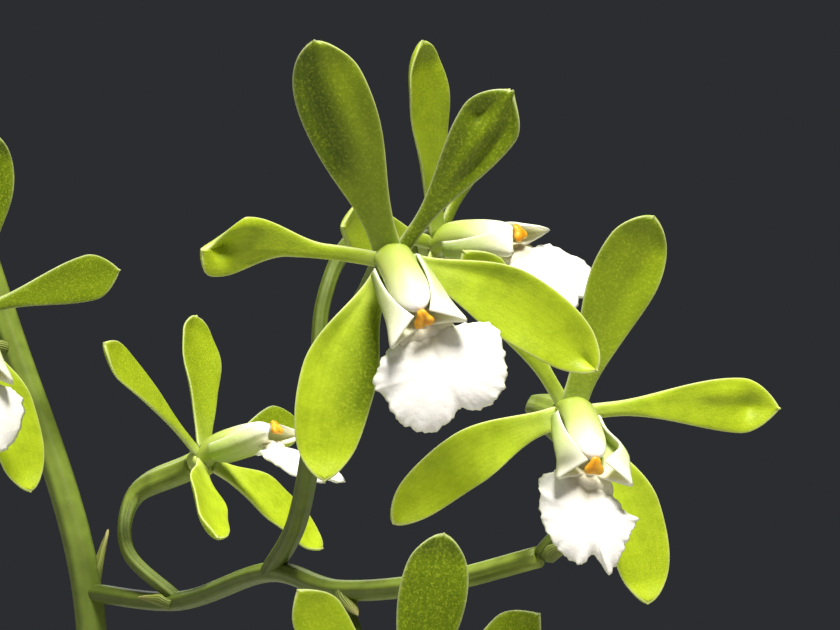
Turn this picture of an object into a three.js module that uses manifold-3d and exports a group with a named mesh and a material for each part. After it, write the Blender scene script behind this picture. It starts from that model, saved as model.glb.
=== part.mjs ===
// A potted Encyclia isochila orchid: a plain clay pot of bark, a row of pseudobulbs with strap
// leaves, and a branched flower stem with open flowers and buds. Millimetres, +Z up, and the origin
// is at the middle of the pot's foot.
//
// A flower has its own frame: x to the right and y up (towards the dorsal sepal) as seen from in
// front of it, z out of its face. Azimuths in a flower run clockwise from the dorsal sepal.
import * as THREE from "three";
import { mergeVertices } from "three/addons/utils/BufferGeometryUtils.js";
import Module from "manifold-3d";

const wasm = await Module();
wasm.setup();

// ---- driving dimensions ----
const GAP = 0.3; // clearance between neighbouring pieces
const POT = {
  height: 86,
  footRadius: 36,
  rimRadius: 52,
  rimHeight: 18,
  rimStep: 3,
  wall: 4.5,
  floor: 5,
  drainRadius: 5,
  drainCircle: 20,
  drains: 4,
  sides: 32,
};
const BARK = { top: 75, chips: 12, longest: 18, seed: 7 };
const BULB_FOOT = 74.6; // height of the pseudobulbs' lowest point
const RHIZOME = { z: 75.6, radius: 3 };
const ROOT_RADIUS = 1.2;
const LEAF_THICKNESS = 1.1;
const TEPAL_THICKNESS = 0.62;
const LIP_THICKNESS = 0.62;
const HUB = { radius: 1.6, height: 1.5, top: -0.5 }; // where a flower's tepals join
const STEM = { foot: 1.6, top: 0.8, branch: 0.75, pedicel: 0.55, ovary: 0.95 };

const COLOURS = {
  clay: { color: "#b0603c", roughness: 0.9 },
  bark: { color: "#6b4630", roughness: 0.95 },
  rhizome: { color: "#8d8a5c", roughness: 0.8 },
  bulb: { color: "#7f9a3e", roughness: 0.55 },
  leaf: { color: "#4c7a2c", roughness: 0.45 },
  stem: { color: "#6f8f35", roughness: 0.5 },
  tepal: { color: "#b3c537", roughness: 0.5 },
  lip: { color: "#fbfbf4", roughness: 0.5 },
  column: { color: "#d6ee8e", roughness: 0.45 },
  bud: { color: "#9db43a", roughness: 0.5 },
};

// ---- small tools ----
const rad = THREE.MathUtils.degToRad;
const V = (x, y, z) => new THREE.Vector3(x, y, z);
const clamp01 = (x) => Math.min(1, Math.max(0, x));
const smooth = (x) => clamp01(x) ** 2 * (3 - 2 * clamp01(x));
const range = (n) => Array.from({ length: n }, (_, i) => i);

function seeded(seed) {
  let a = seed;
  return () => {
    a = (a + 0x6d2b79f5) | 0;
    let t = Math.imul(a ^ (a >>> 15), 1 | a);
    t = (t + Math.imul(t ^ (t >>> 7), 61 | t)) ^ t;
    return ((t ^ (t >>> 14)) >>> 0) / 4294967296;
  };
}

// Catmull-Rom curve through rows of numbers, at x in 0..1.
function spline(rows, x) {
  const n = rows.length - 1;
  const s = clamp01(x) * n;
  const i = Math.min(Math.floor(s), n - 1);
  const f = s - i;
  const at = (k) => {
    if (k < 0) return rows[0].map((v, c) => 2 * v - rows[1][c]);
    if (k > n) return rows[n].map((v, c) => 2 * v - rows[n - 1][c]);
    return rows[k];
  };
  const [a, b, c, d] = [at(i - 1), at(i), at(i + 1), at(i + 2)];
  return b.map(
    (v, k) =>
      0.5 *
      (2 * v +
        (c[k] - a[k]) * f +
        (2 * a[k] - 5 * v + 4 * c[k] - d[k]) * f * f +
        (3 * v - a[k] - 3 * c[k] + d[k]) * f * f * f),
  );
}

// ---- solids ----
function indexed(points, faces) {
  const geometry = new THREE.BufferGeometry().setFromPoints(points);
  geometry.setIndex(faces.flat());
  return geometry;
}

// A closed skin as a solid, its faces turned outwards.
function solid(geometry) {
  const bare = geometry.clone();
  bare.deleteAttribute("normal");
  bare.deleteAttribute("uv");
  const merged = mergeVertices(bare, 1e-4);
  const vertProperties = new Float32Array(merged.attributes.position.array);
  const made = (triVerts) => new wasm.Manifold(new wasm.Mesh({ numProp: 3, vertProperties, triVerts }));
  const faces = new Uint32Array(merged.index.array);
  const first = made(faces);
  return first.volume() > 0 ? first : made(faces.toReversed());
}

function geometryOf(shape) {
  const mesh = shape.getMesh();
  const n = mesh.numProp;
  const points = range(mesh.numVert).map((i) =>
    V(...mesh.vertProperties.subarray(i * n, i * n + 3)),
  );
  const geometry = new THREE.BufferGeometry().setFromPoints(points);
  geometry.setIndex([...mesh.triVerts]);
  geometry.computeVertexNormals();
  return geometry;
}

const joined = (shapes) => shapes.reduce((a, b) => a.add(b));
const without = (shape, cutters) => cutters.reduce((a, b) => a.subtract(b), shape);

// The largest body of a shape, so that a scrap left by a cut is dropped.
function largest(shape) {
  const bodies = shape.decompose();
  return bodies.reduce((a, b) => (b.volume() > a.volume() ? b : a));
}

// A sheet given as rows of points, made a closed solid of even thickness along its normals.
function sheetSolid(grid, thickness) {
  const rows = grid.length;
  const cols = grid[0].length;
  const pick = (i, j) =>
    grid[THREE.MathUtils.clamp(i, 0, rows - 1)][THREE.MathUtils.clamp(j, 0, cols - 1)];
  const front = [];
  const back = [];
  for (const i of range(rows))
    for (const j of range(cols)) {
      const along = pick(i + 1, j).clone().sub(pick(i - 1, j));
      const across = pick(i, j + 1).clone().sub(pick(i, j - 1));
      const normal = along.cross(across).normalize();
      front.push(pick(i, j).clone().addScaledVector(normal, thickness / 2));
      back.push(pick(i, j).clone().addScaledVector(normal, -thickness / 2));
    }
  const half = rows * cols;
  const at = (i, j) => i * cols + j;
  const faces = [];
  const quad = (a, b, c, d) => faces.push([a, b, c], [a, c, d]);
  for (const i of range(rows - 1))
    for (const j of range(cols - 1)) {
      const [a, b, c, d] = [at(i, j), at(i + 1, j), at(i + 1, j + 1), at(i, j + 1)];
      faces.push([a, b, c], [a, c, d]);
      faces.push([half + a, half + c, half + b], [half + a, half + d, half + c]);
    }
  const rim = [
    ...range(cols - 1).map((j) => [at(0, j), at(0, j + 1)]),
    ...range(rows - 1).map((i) => [at(i, cols - 1), at(i + 1, cols - 1)]),
    ...range(cols - 1).map((j) => [at(rows - 1, cols - 1 - j), at(rows - 1, cols - 2 - j)]),
    ...range(rows - 1).map((i) => [at(rows - 1 - i, 0), at(rows - 2 - i, 0)]),
  ];
  for (const [a, b] of rim) quad(a, b, half + b, half + a);
  return solid(indexed([...front, ...back], faces));
}

// Rings of points joined by a skin, with a flat cap at each end.
function loft(rings) {
  const n = rings[0].length;
  const points = rings.flat();
  const middle = (ring) =>
    ring.reduce((a, p) => a.add(p), V(0, 0, 0)).divideScalar(ring.length);
  points.push(middle(rings[0]), middle(rings.at(-1)));
  const faces = [];
  for (const i of range(rings.length - 1))
    for (const j of range(n)) {
      const [a, b] = [i * n + j, i * n + ((j + 1) % n)];
      faces.push([a, b, b + n], [a, b + n, a + n]);
    }
  const last = (rings.length - 1) * n;
  for (const j of range(n)) {
    faces.push([points.length - 2, (j + 1) % n, j]);
    faces.push([points.length - 1, last + j, last + ((j + 1) % n)]);
  }
  return solid(indexed(points, faces));
}

// A round stem through the points of a path, with a radius that the function gives for x in 0..1.
function stem(path, radiusAt, steps, sides = 6) {
  let side = null;
  const rings = range(steps + 1).map((k) => {
    const x = k / steps;
    const centre = V(...spline(path, x));
    const ahead = V(...spline(path, Math.min(1, x + 0.01)));
    const behind = V(...spline(path, Math.max(0, x - 0.01)));
    const tangent = ahead.sub(behind).normalize();
    const guess = side || (Math.abs(tangent.z) > 0.9 ? V(1, 0, 0) : V(0, 0, 1));
    side = guess.clone().addScaledVector(tangent, -guess.dot(tangent)).normalize();
    const other = tangent.clone().cross(side);
    return range(sides).map((j) => {
      const a = (2 * Math.PI * j) / sides;
      return centre
        .clone()
        .addScaledVector(side, radiusAt(x) * Math.cos(a))
        .addScaledVector(other, radiusAt(x) * Math.sin(a));
    });
  });
  return loft(rings);
}

// ---- blades: sepals, petals and leaves ----
// A blade starts at a compass azimuth in the xy plane and rises out of that plane by lift + curl * t,
// with a hook near its tip. Its outline widens from a claw to its widest place and ends blunt; over and
// under hold what is different on its two sides. Across, it is an arc of half-angle cup, hollow on its
// upper face, with dents given as [place along, place across, depth, size along, size across].
const BLADE = {
  claw: 1.6,
  wide: 4.6,
  clawEnd: 0.06,
  wideAt: 0.6,
  blunt: 2.3,
  point: 0.5,
  lift: 8,
  curl: -6,
  hook: 30,
  hookAt: 0.82,
  sweep: 0,
  roll: 0,
  cup: 28,
  cupTip: 45,
  rootRadius: 1.0,
  rootHeight: 0,
  tipWidth: 0.5,
  over: {},
  under: {},
  dents: [],
};

function halfWidth(b, t) {
  const grown = smooth((t - b.clawEnd) / (b.wideAt - b.clawEnd));
  const past = clamp01((t - b.wideAt) / (1 - b.wideAt));
  const full = (b.claw + (b.wide - b.claw) * grown) * (1 - past ** b.blunt) ** b.point;
  return Math.max(full, b.tipWidth) / 2;
}

function bladeGrid(given, rows, columns) {
  const b = { ...BLADE, ...given };
  const steps = 60;
  const step = b.length / steps;
  const head0 = rad(90 - b.az);
  const point = V(Math.cos(head0), Math.sin(head0), 0).multiplyScalar(b.rootRadius);
  point.z += b.rootHeight;
  const frameAt = (t) => {
    const pitch = rad(b.lift + b.curl * t + b.hook * smooth((t - b.hookAt) / (1 - b.hookAt)));
    const head = rad(90 - b.az + b.sweep * t);
    const tangent = V(
      Math.cos(pitch) * Math.cos(head),
      Math.cos(pitch) * Math.sin(head),
      Math.sin(pitch),
    );
    const level = V(-Math.sin(head), Math.cos(head), 0);
    const normal = tangent.clone().cross(level);
    const roll = rad(b.roll);
    return {
      tangent,
      side: level.clone().multiplyScalar(Math.cos(roll)).addScaledVector(normal, Math.sin(roll)),
      normal: normal.multiplyScalar(Math.cos(roll)).addScaledVector(level, -Math.sin(roll)),
    };
  };
  const midrib = [point.clone()];
  for (const k of range(steps))
    midrib.push(
      midrib.at(-1).clone().addScaledVector(frameAt((k + 0.5) / steps).tangent, step),
    );
  return range(rows + 1).map((i) => {
    const t = 1 - (1 - i / rows) ** 1.35;
    const spot = t * steps;
    const k = Math.min(Math.floor(spot), steps - 1);
    const centre = midrib[k].clone().lerp(midrib[k + 1], spot - k);
    const { side, normal } = frameAt(t);
    const cup = rad(b.cup + (b.cupTip - b.cup) * smooth((t - b.hookAt) / (1 - b.hookAt)));
    return range(columns + 1).map((j) => {
      const s = (2 * j) / columns - 1;
      const half = halfWidth({ ...b, ...(s < 0 ? b.under : b.over) }, t);
      const dented = b.dents.reduce(
        (sum, [at, across, depth, long, wide]) =>
          sum + depth * Math.exp(-(((t - at) / long) ** 2) - ((s - across) / wide) ** 2),
        0,
      );
      return centre
        .clone()
        .addScaledVector(side, (half * Math.sin(cup * s)) / cup)
        .addScaledVector(normal, (half * (1 - Math.cos(cup * s))) / cup - dented);
    });
  });
}

// ---- the flower ----
const sepal = (az, length, more = {}) => ({ az, length, ...more });
const petal = (az, length, more = {}) => ({
  az,
  length,
  claw: 1.0,
  wide: 3.7,
  clawEnd: 0.15,
  wideAt: 0.8,
  blunt: 2,
  point: 0.85,
  cup: 20,
  cupTip: 36,
  hook: 22,
  hookAt: 0.8,
  ...more,
});

// The five tepals of an ordinary flower; a flower's own entry can bend each of them.
function tepalsOf(own = {}) {
  return [
    sepal(0, 13.8, { claw: 1.9, wide: 4.8, wideAt: 0.68, ...own.dorsal }),
    petal(63, 12.8, { sweep: -6, ...own.petalRight }),
    petal(-63, 12.8, { sweep: 6, ...own.petalLeft }),
    sepal(121, 14, { sweep: -36, wideAt: 0.52, ...own.lateralRight }),
    sepal(-121, 14, { sweep: 36, wideAt: 0.52, ...own.lateralLeft }),
  ];
}

// The lip's trough, right half: rows from its foot to its mouth, and in each row four points from the
// middle of the floor, round the flank, to the margin that leans on the column. The last row is the
// mouth's edge, and its third point is the side lobe's tip.
const TROUGH = [
  [0, -0.9, 0.1, 0.8, -0.85, 0.1, 1.4, -0.2, 0.4, 1.3, 0.45, 1.0],
  [0, -1.9, 1.2, 0.95, -1.85, 1.15, 1.6, -1.15, 1.5, 1.3, -0.3, 2.1],
  [0, -2.9, 2.4, 1.0, -2.85, 2.3, 1.8, -2.2, 2.7, 1.35, -1.25, 3.35],
  [0, -3.7, 3.4, 1.1, -3.65, 3.3, 1.98, -3.4, 3.9, 1.3, -2.45, 4.5],
  [0, -4.3, 4.1, 1.3, -4.5, 4.3, 2.45, -4.8, 5.25, 1.25, -3.62, 5.25],
];
const MIDLOBE = { y: -7.1, z: 4.35 };
// Midlobe outlines, clockwise from the throat, from the midlobe's middle: right, up.
const BROAD_LOBE = [
  [0.4, 2.5], [1.5, 2.3], [2.7, 2.1], [3.6, 1.8], [4.3, 1.15], [4.1, -0.5], [3.65, -1.95],
  [2.85, -2.75], [1.85, -3.15], [0.95, -3.0], [0.3, -2.62], [-0.3, -3.05], [-1.8, -3.45],
  [-2.9, -2.8], [-3.6, -1.85], [-3.85, -0.2], [-4.25, 0.45], [-3.4, 1.6], [-2.5, 2.25],
  [-1.5, 2.45], [-0.6, 2.4],
];
const JAGGED_LOBE = [
  [0, 2.5], [1.17, 1.9], [2.08, 1.43], [2.86, 0.78], [3.66, 0.42], [3.2, -0.3], [2.73, -1.3],
  [2.25, -2.47], [1.69, -3.38], [1.15, -2.8], [0.45, -2.2], [0, -2.75], [-0.6, -2.85],
  [-1.95, -1.95], [-2.86, -0.5], [-3.2, 1.1], [-3.1, 2.3], [-2.1, 3.0], [-0.9, 2.7],
];
const COLUMN = [
  [0, 0.6, 0.25],
  [0, -0.1, 1.1],
  [0, -1.55, 2.8],
  [0, -3.42, 4.98],
];
const COLUMN_RADII = [[0.64], [0.68], [0.6], [0.42]];
const ANTHER = { y: -3.85, z: 5.1, radius: 0.55, lobed: 0.24, height: 0.6, tilt: 24 };

function troughGrid(rows, columns, flare = 0) {
  return range(rows + 1).map((i) => {
    const v = i / rows;
    const row = spline(TROUGH, v);
    const right = range(4).map((k) => row.slice(3 * k, 3 * k + 3));
    const left = right.slice(1).reverse().map(([x, y, z]) => [-x, y, z]);
    return range(columns + 1).map((j) => {
      const s = (2 * j) / columns - 1;
      const opened = flare * Math.exp(-(((v - 0.62) / 0.25) ** 2)) * smooth((s - 0.2) / 0.6);
      return V(...spline([...left, ...right], j / columns)).add(V(opened, 0, 0));
    });
  });
}

// The midlobe: its outline at full size and at 0.6 of it, on a front and a back face, the edge bent back.
function midlobeSolid(outline, sides) {
  const closed = [...outline, outline[0]];
  const rim = range(sides).map((k) => spline(closed, k / sides));
  const ring = (r, back) =>
    rim.map(([x, y]) => {
      const z = MIDLOBE.z + 0.16 * (1 - r * r) - 0.4 * r ** 4 - 0.1 * y * r;
      return V(x * r, MIDLOBE.y + y * r, z - back);
    });
  return loft([
    ring(0.05, LIP_THICKNESS),
    ring(0.6, LIP_THICKNESS),
    ring(1, LIP_THICKNESS),
    ring(1, 0),
    ring(0.6, 0),
    ring(0.05, 0),
  ]);
}

function columnSolid() {
  const across = V(1, 0, 0);
  const up = V(0, 0.72, 0.69);
  const body = loft(
    range(4).map((i) => {
      const centre = V(...spline(COLUMN, i / 3));
      const radius = spline(COLUMN_RADII, i / 3)[0];
      return range(6).map((j) => {
        const a = (2 * Math.PI * j) / 6;
        return centre
          .clone()
          .addScaledVector(across, radius * Math.cos(a))
          .addScaledVector(up, -radius * 0.78 * Math.sin(a));
      });
    }),
  );
  const cap = loft(
    [-0.5, 0.5].map((k) =>
      range(6).map((j) => {
        const a = (2 * Math.PI * j) / 6 + Math.PI / 2;
        const reach = ANTHER.radius * (1 + ANTHER.lobed * Math.cos(3 * (a - Math.PI / 2)));
        return V(reach * Math.cos(a), reach * Math.sin(a), k * ANTHER.height)
          .applyAxisAngle(across, rad(ANTHER.tilt))
          .add(V(0, ANTHER.y, ANTHER.z));
      }),
    ),
  );
  return body.add(cap);
}

// The neck joins the trough's mouth to the midlobe and widens towards it.
const NECK = [
  { y: -3.4, z: 3.3, halfWidth: 1.1 },
  { y: -4.4, z: 3.95, halfWidth: 1.4 },
  { y: -5.9, z: 4.1, halfWidth: 1.8 },
];

function lipSolid({ fine, outline = BROAD_LOBE, flare = 0 }) {
  const neck = NECK.map(({ y, z, halfWidth }) => [-1, 0, 1].map((side) => V(side * halfWidth, y, z)));
  const sheets = [troughGrid(fine ? 4 : 3, fine ? 6 : 4, flare), neck];
  return joined([
    ...sheets.map((grid) => sheetSolid(grid, LIP_THICKNESS)),
    midlobeSolid(outline, fine ? outline.length : 12),
  ]);
}

// A flower's frame set in the row frame: turned to the viewer's right, nodding up, rolled to the left.
function flowerMatrix({ at, turn = 0, nod = 0, roll = 0 }) {
  const face = new THREE.Matrix4().makeBasis(V(1, 0, 0), V(0, 0, 1), V(0, -1, 0));
  return new THREE.Matrix4()
    .makeTranslation(...at)
    .multiply(new THREE.Matrix4().makeRotationZ(rad(turn)))
    .multiply(new THREE.Matrix4().makeRotationX(rad(-nod)))
    .multiply(face)
    .multiply(new THREE.Matrix4().makeRotationZ(rad(roll)));
}

function moved(shape, matrix) {
  return solid(geometryOf(shape).applyMatrix4(matrix));
}

// The tepals grow from a short hub that stands clear below the lip and the column.
function flowerSolids(flower) {
  const swing = new THREE.Matrix4()
    .makeRotationZ(rad(flower.lipSwing || 0))
    .multiply(new THREE.Matrix4().makeRotationX(rad(-(flower.lipLift || 0))));
  const [rows, columns] = flower.fine ? [6, 4] : [4, 2];
  const hub = solid(
    new THREE.CylinderGeometry(HUB.radius, HUB.radius * 0.7, HUB.height, 6)
      .rotateX(Math.PI / 2)
      .translate(0, 0, HUB.top - HUB.height / 2),
  );
  const blades = tepalsOf(flower.tepals).map((b) =>
    sheetSolid(bladeGrid({ rootHeight: HUB.top - 0.4, ...b }, rows, columns), TEPAL_THICKNESS),
  );
  const matrix = flowerMatrix(flower);
  return {
    tepals: moved(joined([hub, ...blades]), matrix),
    lip: moved(lipSolid(flower), new THREE.Matrix4().multiplyMatrices(matrix, swing)),
    column: moved(columnSolid(), new THREE.Matrix4().multiplyMatrices(matrix, swing)),
  };
}

// Where each open flower stands and how it faces. The first two are the ones seen best from in front.
const FLOWERS = [
  {
    fine: true,
    at: [19.8, -50, 261.3],
    turn: 6,
    roll: 20,
    tepals: {
      dorsal: {
        az: -1,
        wide: 5,
        length: 14.4,
        lift: 20,
        curl: -12,
        hook: 20,
        cup: 22,
        cupTip: 36,
        roll: -20,
        dents: [[0.6, -0.1, -0.4, 0.28, 0.4], [0.72, 0.62, 0.25, 0.2, 0.3]],
      },
      petalRight: {
        az: 54,
        length: 12.5,
        wide: 4,
        sweep: 0,
        hook: 8,
        cup: 26,
        cupTip: 34,
        lift: 17,
        point: 1.1,
        over: { point: 0.68, wide: 4.2 },
        dents: [[0.81, 0.45, 0.4, 0.06, 0.3], [0.68, 0, -0.35, 0.2, 0.25], [0.72, -0.5, 0.35, 0.2, 0.3]],
      },
      petalLeft: {
        az: -59,
        length: 11.8,
        sweep: 20,
        hook: 64,
        hookAt: 0.86,
        cup: 18,
        cupTip: 24,
        roll: -14,
        under: { wide: 4.3, wideAt: 0.74, blunt: 1.3, point: 1.7, clawEnd: 0.3 },
        over: { wide: 3.5, wideAt: 0.87, blunt: 2.2, point: 0.6, clawEnd: 0.5 },
        dents: [[0.85, -0.15, 0.5, 0.08, 0.5], [0.74, -0.8, -0.45, 0.08, 0.35]],
      },
      lateralRight: { az: 121, length: 14.1, sweep: -37 },
      lateralLeft: { az: -126, length: 14, sweep: 34, wide: 5 },
    },
  },
  {
    fine: true,
    at: [31.4, -41, 251.5],
    turn: 15,
    roll: -19,
    lipSwing: 13,
    lipLift: 7,
    outline: JAGGED_LOBE,
    flare: 0.8,
    tepals: {
      dorsal: { az: -3, length: 13.4, sweep: -10, lift: 12 },
      petalRight: { length: 13.4, sweep: -14 },
      petalLeft: { az: -52, length: 12.5 },
      lateralRight: { az: 122, length: 12.9, sweep: -38, wide: 4.4 },
      lateralLeft: { az: -122, length: 13.8, wide: 3.8, sweep: 34 },
    },
  },
  {
    at: [23.3, -24, 262.9],
    turn: 55,
    nod: -2,
    roll: 20,
    lipLift: 46,
    tepals: {
      dorsal: { length: 14.2 },
      petalRight: { az: 47, length: 12.2 },
      lateralLeft: { az: -134, length: 12.2, sweep: 20 },
    },
  },
  {
    at: [5.2, 8, 247],
    turn: 60,
    nod: 24,
    roll: -5,
    lipLift: 34,
    tepals: {
      dorsal: { az: 14, length: 11.8 },
      petalRight: { az: 72 },
      petalLeft: { az: -50, length: 13.4 },
      lateralRight: { az: 116, length: 12.5, sweep: -24 },
      lateralLeft: { az: -128, length: 11, sweep: 24, lift: 20 },
    },
  },
  { at: [-13.7, 4, 257.8], turn: 30, roll: -8, tepals: { lateralRight: { az: 142, sweep: -20 } } },
  {
    at: [20.4, -33, 229.2],
    turn: 5,
    nod: 8,
    roll: -8,
    tepals: {
      dorsal: { az: 3 },
      petalRight: { az: 36, length: 12 },
      petalLeft: { az: -40, length: 12 },
    },
  },
  { at: [-22, 6, 300], turn: -20, nod: -5, roll: 8 },
  { at: [-42, 24, 290], turn: -75, nod: 5, roll: -6 },
  { at: [-28, 36, 305], turn: 165, roll: 5 },
];

// ---- the flower stem ----
const MAIN_AXIS = [
  [0.5, 7, 118],
  [-1.6, 8.8, 145],
  [-4.6, 11, 180],
  [-5, 12, 212],
  [-5, 12, 236],
  [-12, 15, 258],
  [-19.5, 17, 280],
  [-26, 18, 302],
  [-30, 18, 320],
];
const BRANCHES = [
  [
    [-5, 12, 236],
    [2.8, 4.5, 235.9],
    [10.3, -8, 239],
    [15.7, -18, 238.4],
    [22.8, -25, 239.5],
    [29.5, -29, 241.5],
  ],
  [
    [10.3, -8, 239],
    [12.5, -15, 243],
    [13.8, -20, 249],
    [14.2, -22, 253],
  ],
  [
    [-19.5, 17, 280],
    [-26, 22, 284],
    [-33, 27, 287],
  ],
];
// Where each flower's pedicel leaves the stem, and one point that it bends through.
const PEDICELS = [
  [[14.2, -22, 253], [16.6, -32, 257.5]],
  [[29.5, -29, 241.5], [33, -29.5, 246.5]],
  [[14.2, -22, 253], [14.6, -20.5, 259]],
  [[2.8, 4.5, 235.9], [-1.5, 8.5, 239.5]],
  [[-11.2, 14.7, 255.5], [-16.5, 13.5, 257.6]],
  [[15.7, -18, 238.4], [18.5, -21.5, 231]],
  [[-23.5, 17.6, 293.5], [-22, 16.5, 299]],
  [[-33, 27, 287], [-34.5, 25.5, 289.4]],
  [[-26, 18, 302], [-27.5, 24, 305.6]],
];
const BUDS = [
  { foot: [-30, 18, 320], at: [-31.5, 17, 330], length: 9, radius: 2.3 },
  { foot: [-29, 18, 315.5], at: [-36.5, 14, 321], length: 9.5, radius: 2.5 },
  { foot: [-28, 18, 311], at: [-21.5, 19, 319], length: 10, radius: 2.6 },
  { foot: [-29.6, 24.6, 285.6], at: [-33, 33, 279], length: 10, radius: 2.6 },
];

function ovaryStart(flower) {
  const back = V(0, 0, -1).transformDirection(flowerMatrix(flower));
  return {
    end: V(...flower.at).addScaledVector(back, HUB.height - HUB.top + GAP),
    behind: V(...flower.at).addScaledVector(back, 8),
  };
}

function inflorescence() {
  const axis = stem(MAIN_AXIS, (x) => STEM.foot + (STEM.top - STEM.foot) * x, 16);
  const branches = BRANCHES.map((path) => stem(path, () => STEM.branch, 5));
  const pedicels = PEDICELS.map(([foot, bend], k) => {
    const { end, behind } = ovaryStart(FLOWERS[k]);
    const radiusAt = (x) => STEM.pedicel + (STEM.ovary - STEM.pedicel) * smooth((x - 0.45) / 0.4);
    return stem([foot, bend, behind.toArray(), end.toArray()], radiusAt, 5, 5);
  });
  const budStalks = BUDS.map(({ foot, at }) => {
    const [a, b] = [V(...foot), V(...at)];
    const middle = a.clone().lerp(b, 0.5).add(V(0, 0, -0.6));
    return stem([foot, middle.toArray(), at], () => STEM.pedicel, 2, 5);
  });
  return joined([axis, ...branches, ...pedicels, ...budStalks]);
}

// A closed bud: a spindle with three shallow seams, pointing on along its stalk.
function budSolid({ foot, at, length, radius }) {
  const axis = V(...at).sub(V(...foot)).normalize();
  const turn = new THREE.Quaternion().setFromUnitVectors(V(0, 0, 1), axis);
  return loft(
    range(7).map((i) => {
      const t = 0.03 + (0.94 * i) / 6;
      return range(9).map((j) => {
        const a = (2 * Math.PI * j) / 9;
        const r = radius * Math.sin(Math.PI * t ** 0.85) ** 0.75 * (1 + 0.08 * Math.cos(3 * a));
        return V(r * Math.cos(a), r * Math.sin(a), GAP + length * t)
          .applyQuaternion(turn)
          .add(V(...at));
      });
    }),
  );
}

// ---- pseudobulbs, rhizome and leaves ----
const BULBS = [
  { x: -31, y: -2, height: 31, radius: 7.6, lean: [-2, -1] },
  { x: -14.5, y: -8, height: 37, radius: 8.6, lean: [-2, -2] },
  { x: 0.5, y: 4, height: 43, radius: 9.2, lean: [0, 3] },
  { x: 15.5, y: -8.5, height: 42, radius: 9, lean: [2, -2] },
  { x: 31, y: 1, height: 36, radius: 8, lean: [3, 1] },
  { x: 4, y: 25, height: 34, radius: 8.2, lean: [1, 3] },
];
const BULB_PROFILE = [
  [0.35, 0],
  [0.78, 0.08],
  [1, 0.26],
  [0.93, 0.45],
  [0.68, 0.66],
  [0.43, 0.84],
  [0.33, 1],
];

function bulbSolid({ x, y, height, radius, lean }, grow = 0) {
  const profile = BULB_PROFILE.map(([r, h]) => [r, h]);
  return loft(
    range(9).map((i) => {
      const [r, h] = spline(profile, i / 8);
      const z = BULB_FOOT + h * (height + 2 * grow) - grow;
      return range(12).map((j) => {
        const a = (2 * Math.PI * j) / 12;
        const ridge = 1 + 0.03 * Math.cos(4 * a);
        const reach = r * radius * ridge + grow;
        return V(
          x + lean[0] * h + reach * Math.cos(a),
          y + lean[1] * h + reach * Math.sin(a),
          z,
        );
      });
    }),
  );
}

// Each leaf stands on top of a pseudobulb and arches out to its own azimuth.
const LEAVES = [
  { bulb: 0, az: 262, length: 104, lift: 70, curl: -58, wide: 10.5 },
  { bulb: 1, az: 215, length: 132, lift: 74, curl: -72, wide: 12 },
  { bulb: 1, az: 58, length: 96, lift: 88, curl: -28, wide: 10.5 },
  { bulb: 2, az: 300, length: 150, lift: 80, curl: -74, wide: 12.5 },
  { bulb: 2, az: 55, length: 140, lift: 82, curl: -56, wide: 12.5 },
  { bulb: 3, az: 192, length: 138, lift: 74, curl: -70, wide: 12.5 },
  { bulb: 3, az: 72, length: 134, lift: 76, curl: -60, wide: 12 },
  { bulb: 4, az: 104, length: 124, lift: 66, curl: -64, wide: 11.5 },
  { bulb: 5, az: 12, length: 128, lift: 74, curl: -66, wide: 11.5 },
];
const LEAF = {
  claw: 4.4,
  clawEnd: 0,
  wideAt: 0.45,
  blunt: 2.6,
  hook: -14,
  hookAt: 0,
  cup: 62,
  cupTip: 16,
  rootRadius: 2.5,
  tipWidth: 1.6,
};

function leafSolid({ bulb, ...leaf }) {
  const { x, y, height, lean } = BULBS[bulb];
  const grid = bladeGrid({ ...LEAF, ...leaf }, 11, 3);
  const foot = V(x + lean[0], y + lean[1], BULB_FOOT + height + GAP + 0.6);
  return sheetSolid(
    grid.map((row) => row.map((p) => p.add(foot))),
    LEAF_THICKNESS,
  );
}

// The creeping rhizome joins the pseudobulbs' feet, and its roots run out over the bark.
const RHIZOME_PATHS = [
  [
    [-36, -1, 0],
    [-14.5, -8, 0],
    [0.5, 4, 0],
    [15.5, -8.5, 0],
    [36, 2, 0],
  ],
  [
    [0.5, 4, 0],
    [1, 15, 0],
    [4, 28, 0],
  ],
];
const ROOT_Z = 76.7;
const ROOTS = [
  [[-26, -7], [-28, -18], [-20, -30], [-8, -37], [4, -38]],
  [[5, -1], [4, -16], [14, -27], [26, -31], [35, -22]],
  [[22, -1], [27, 12], [24, 25], [15, 36], [4, 40]],
  [[-10, 1], [-17, 12], [-27, 19], [-36, 17], [-41, 8]],
  [[0, 16], [-8, 24], [-13, 34], [-20, 37]],
];

function rhizomeSolid(grow = 0) {
  const bars = RHIZOME_PATHS.map((path) =>
    stem(
      path.map(([x, y]) => [x, y, RHIZOME.z]),
      () => RHIZOME.radius + grow,
      6,
      6,
    ),
  );
  const roots = ROOTS.map((path) =>
    stem(
      path.map(([x, y]) => [x, y, ROOT_Z]),
      () => ROOT_RADIUS + grow,
      7,
      5,
    ),
  );
  return joined([...bars, ...roots]);
}

// ---- pot and bark ----
function potInner(z) {
  const outer = POT.footRadius + (POT.rimRadius - POT.rimStep - POT.footRadius) * (z / POT.height);
  return outer - POT.wall;
}

function lathe(points, sides) {
  const outline = points.map(([r, z]) => new THREE.Vector2(r, z));
  return solid(new THREE.LatheGeometry([...outline, outline[0]], sides).rotateX(Math.PI / 2));
}

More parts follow.
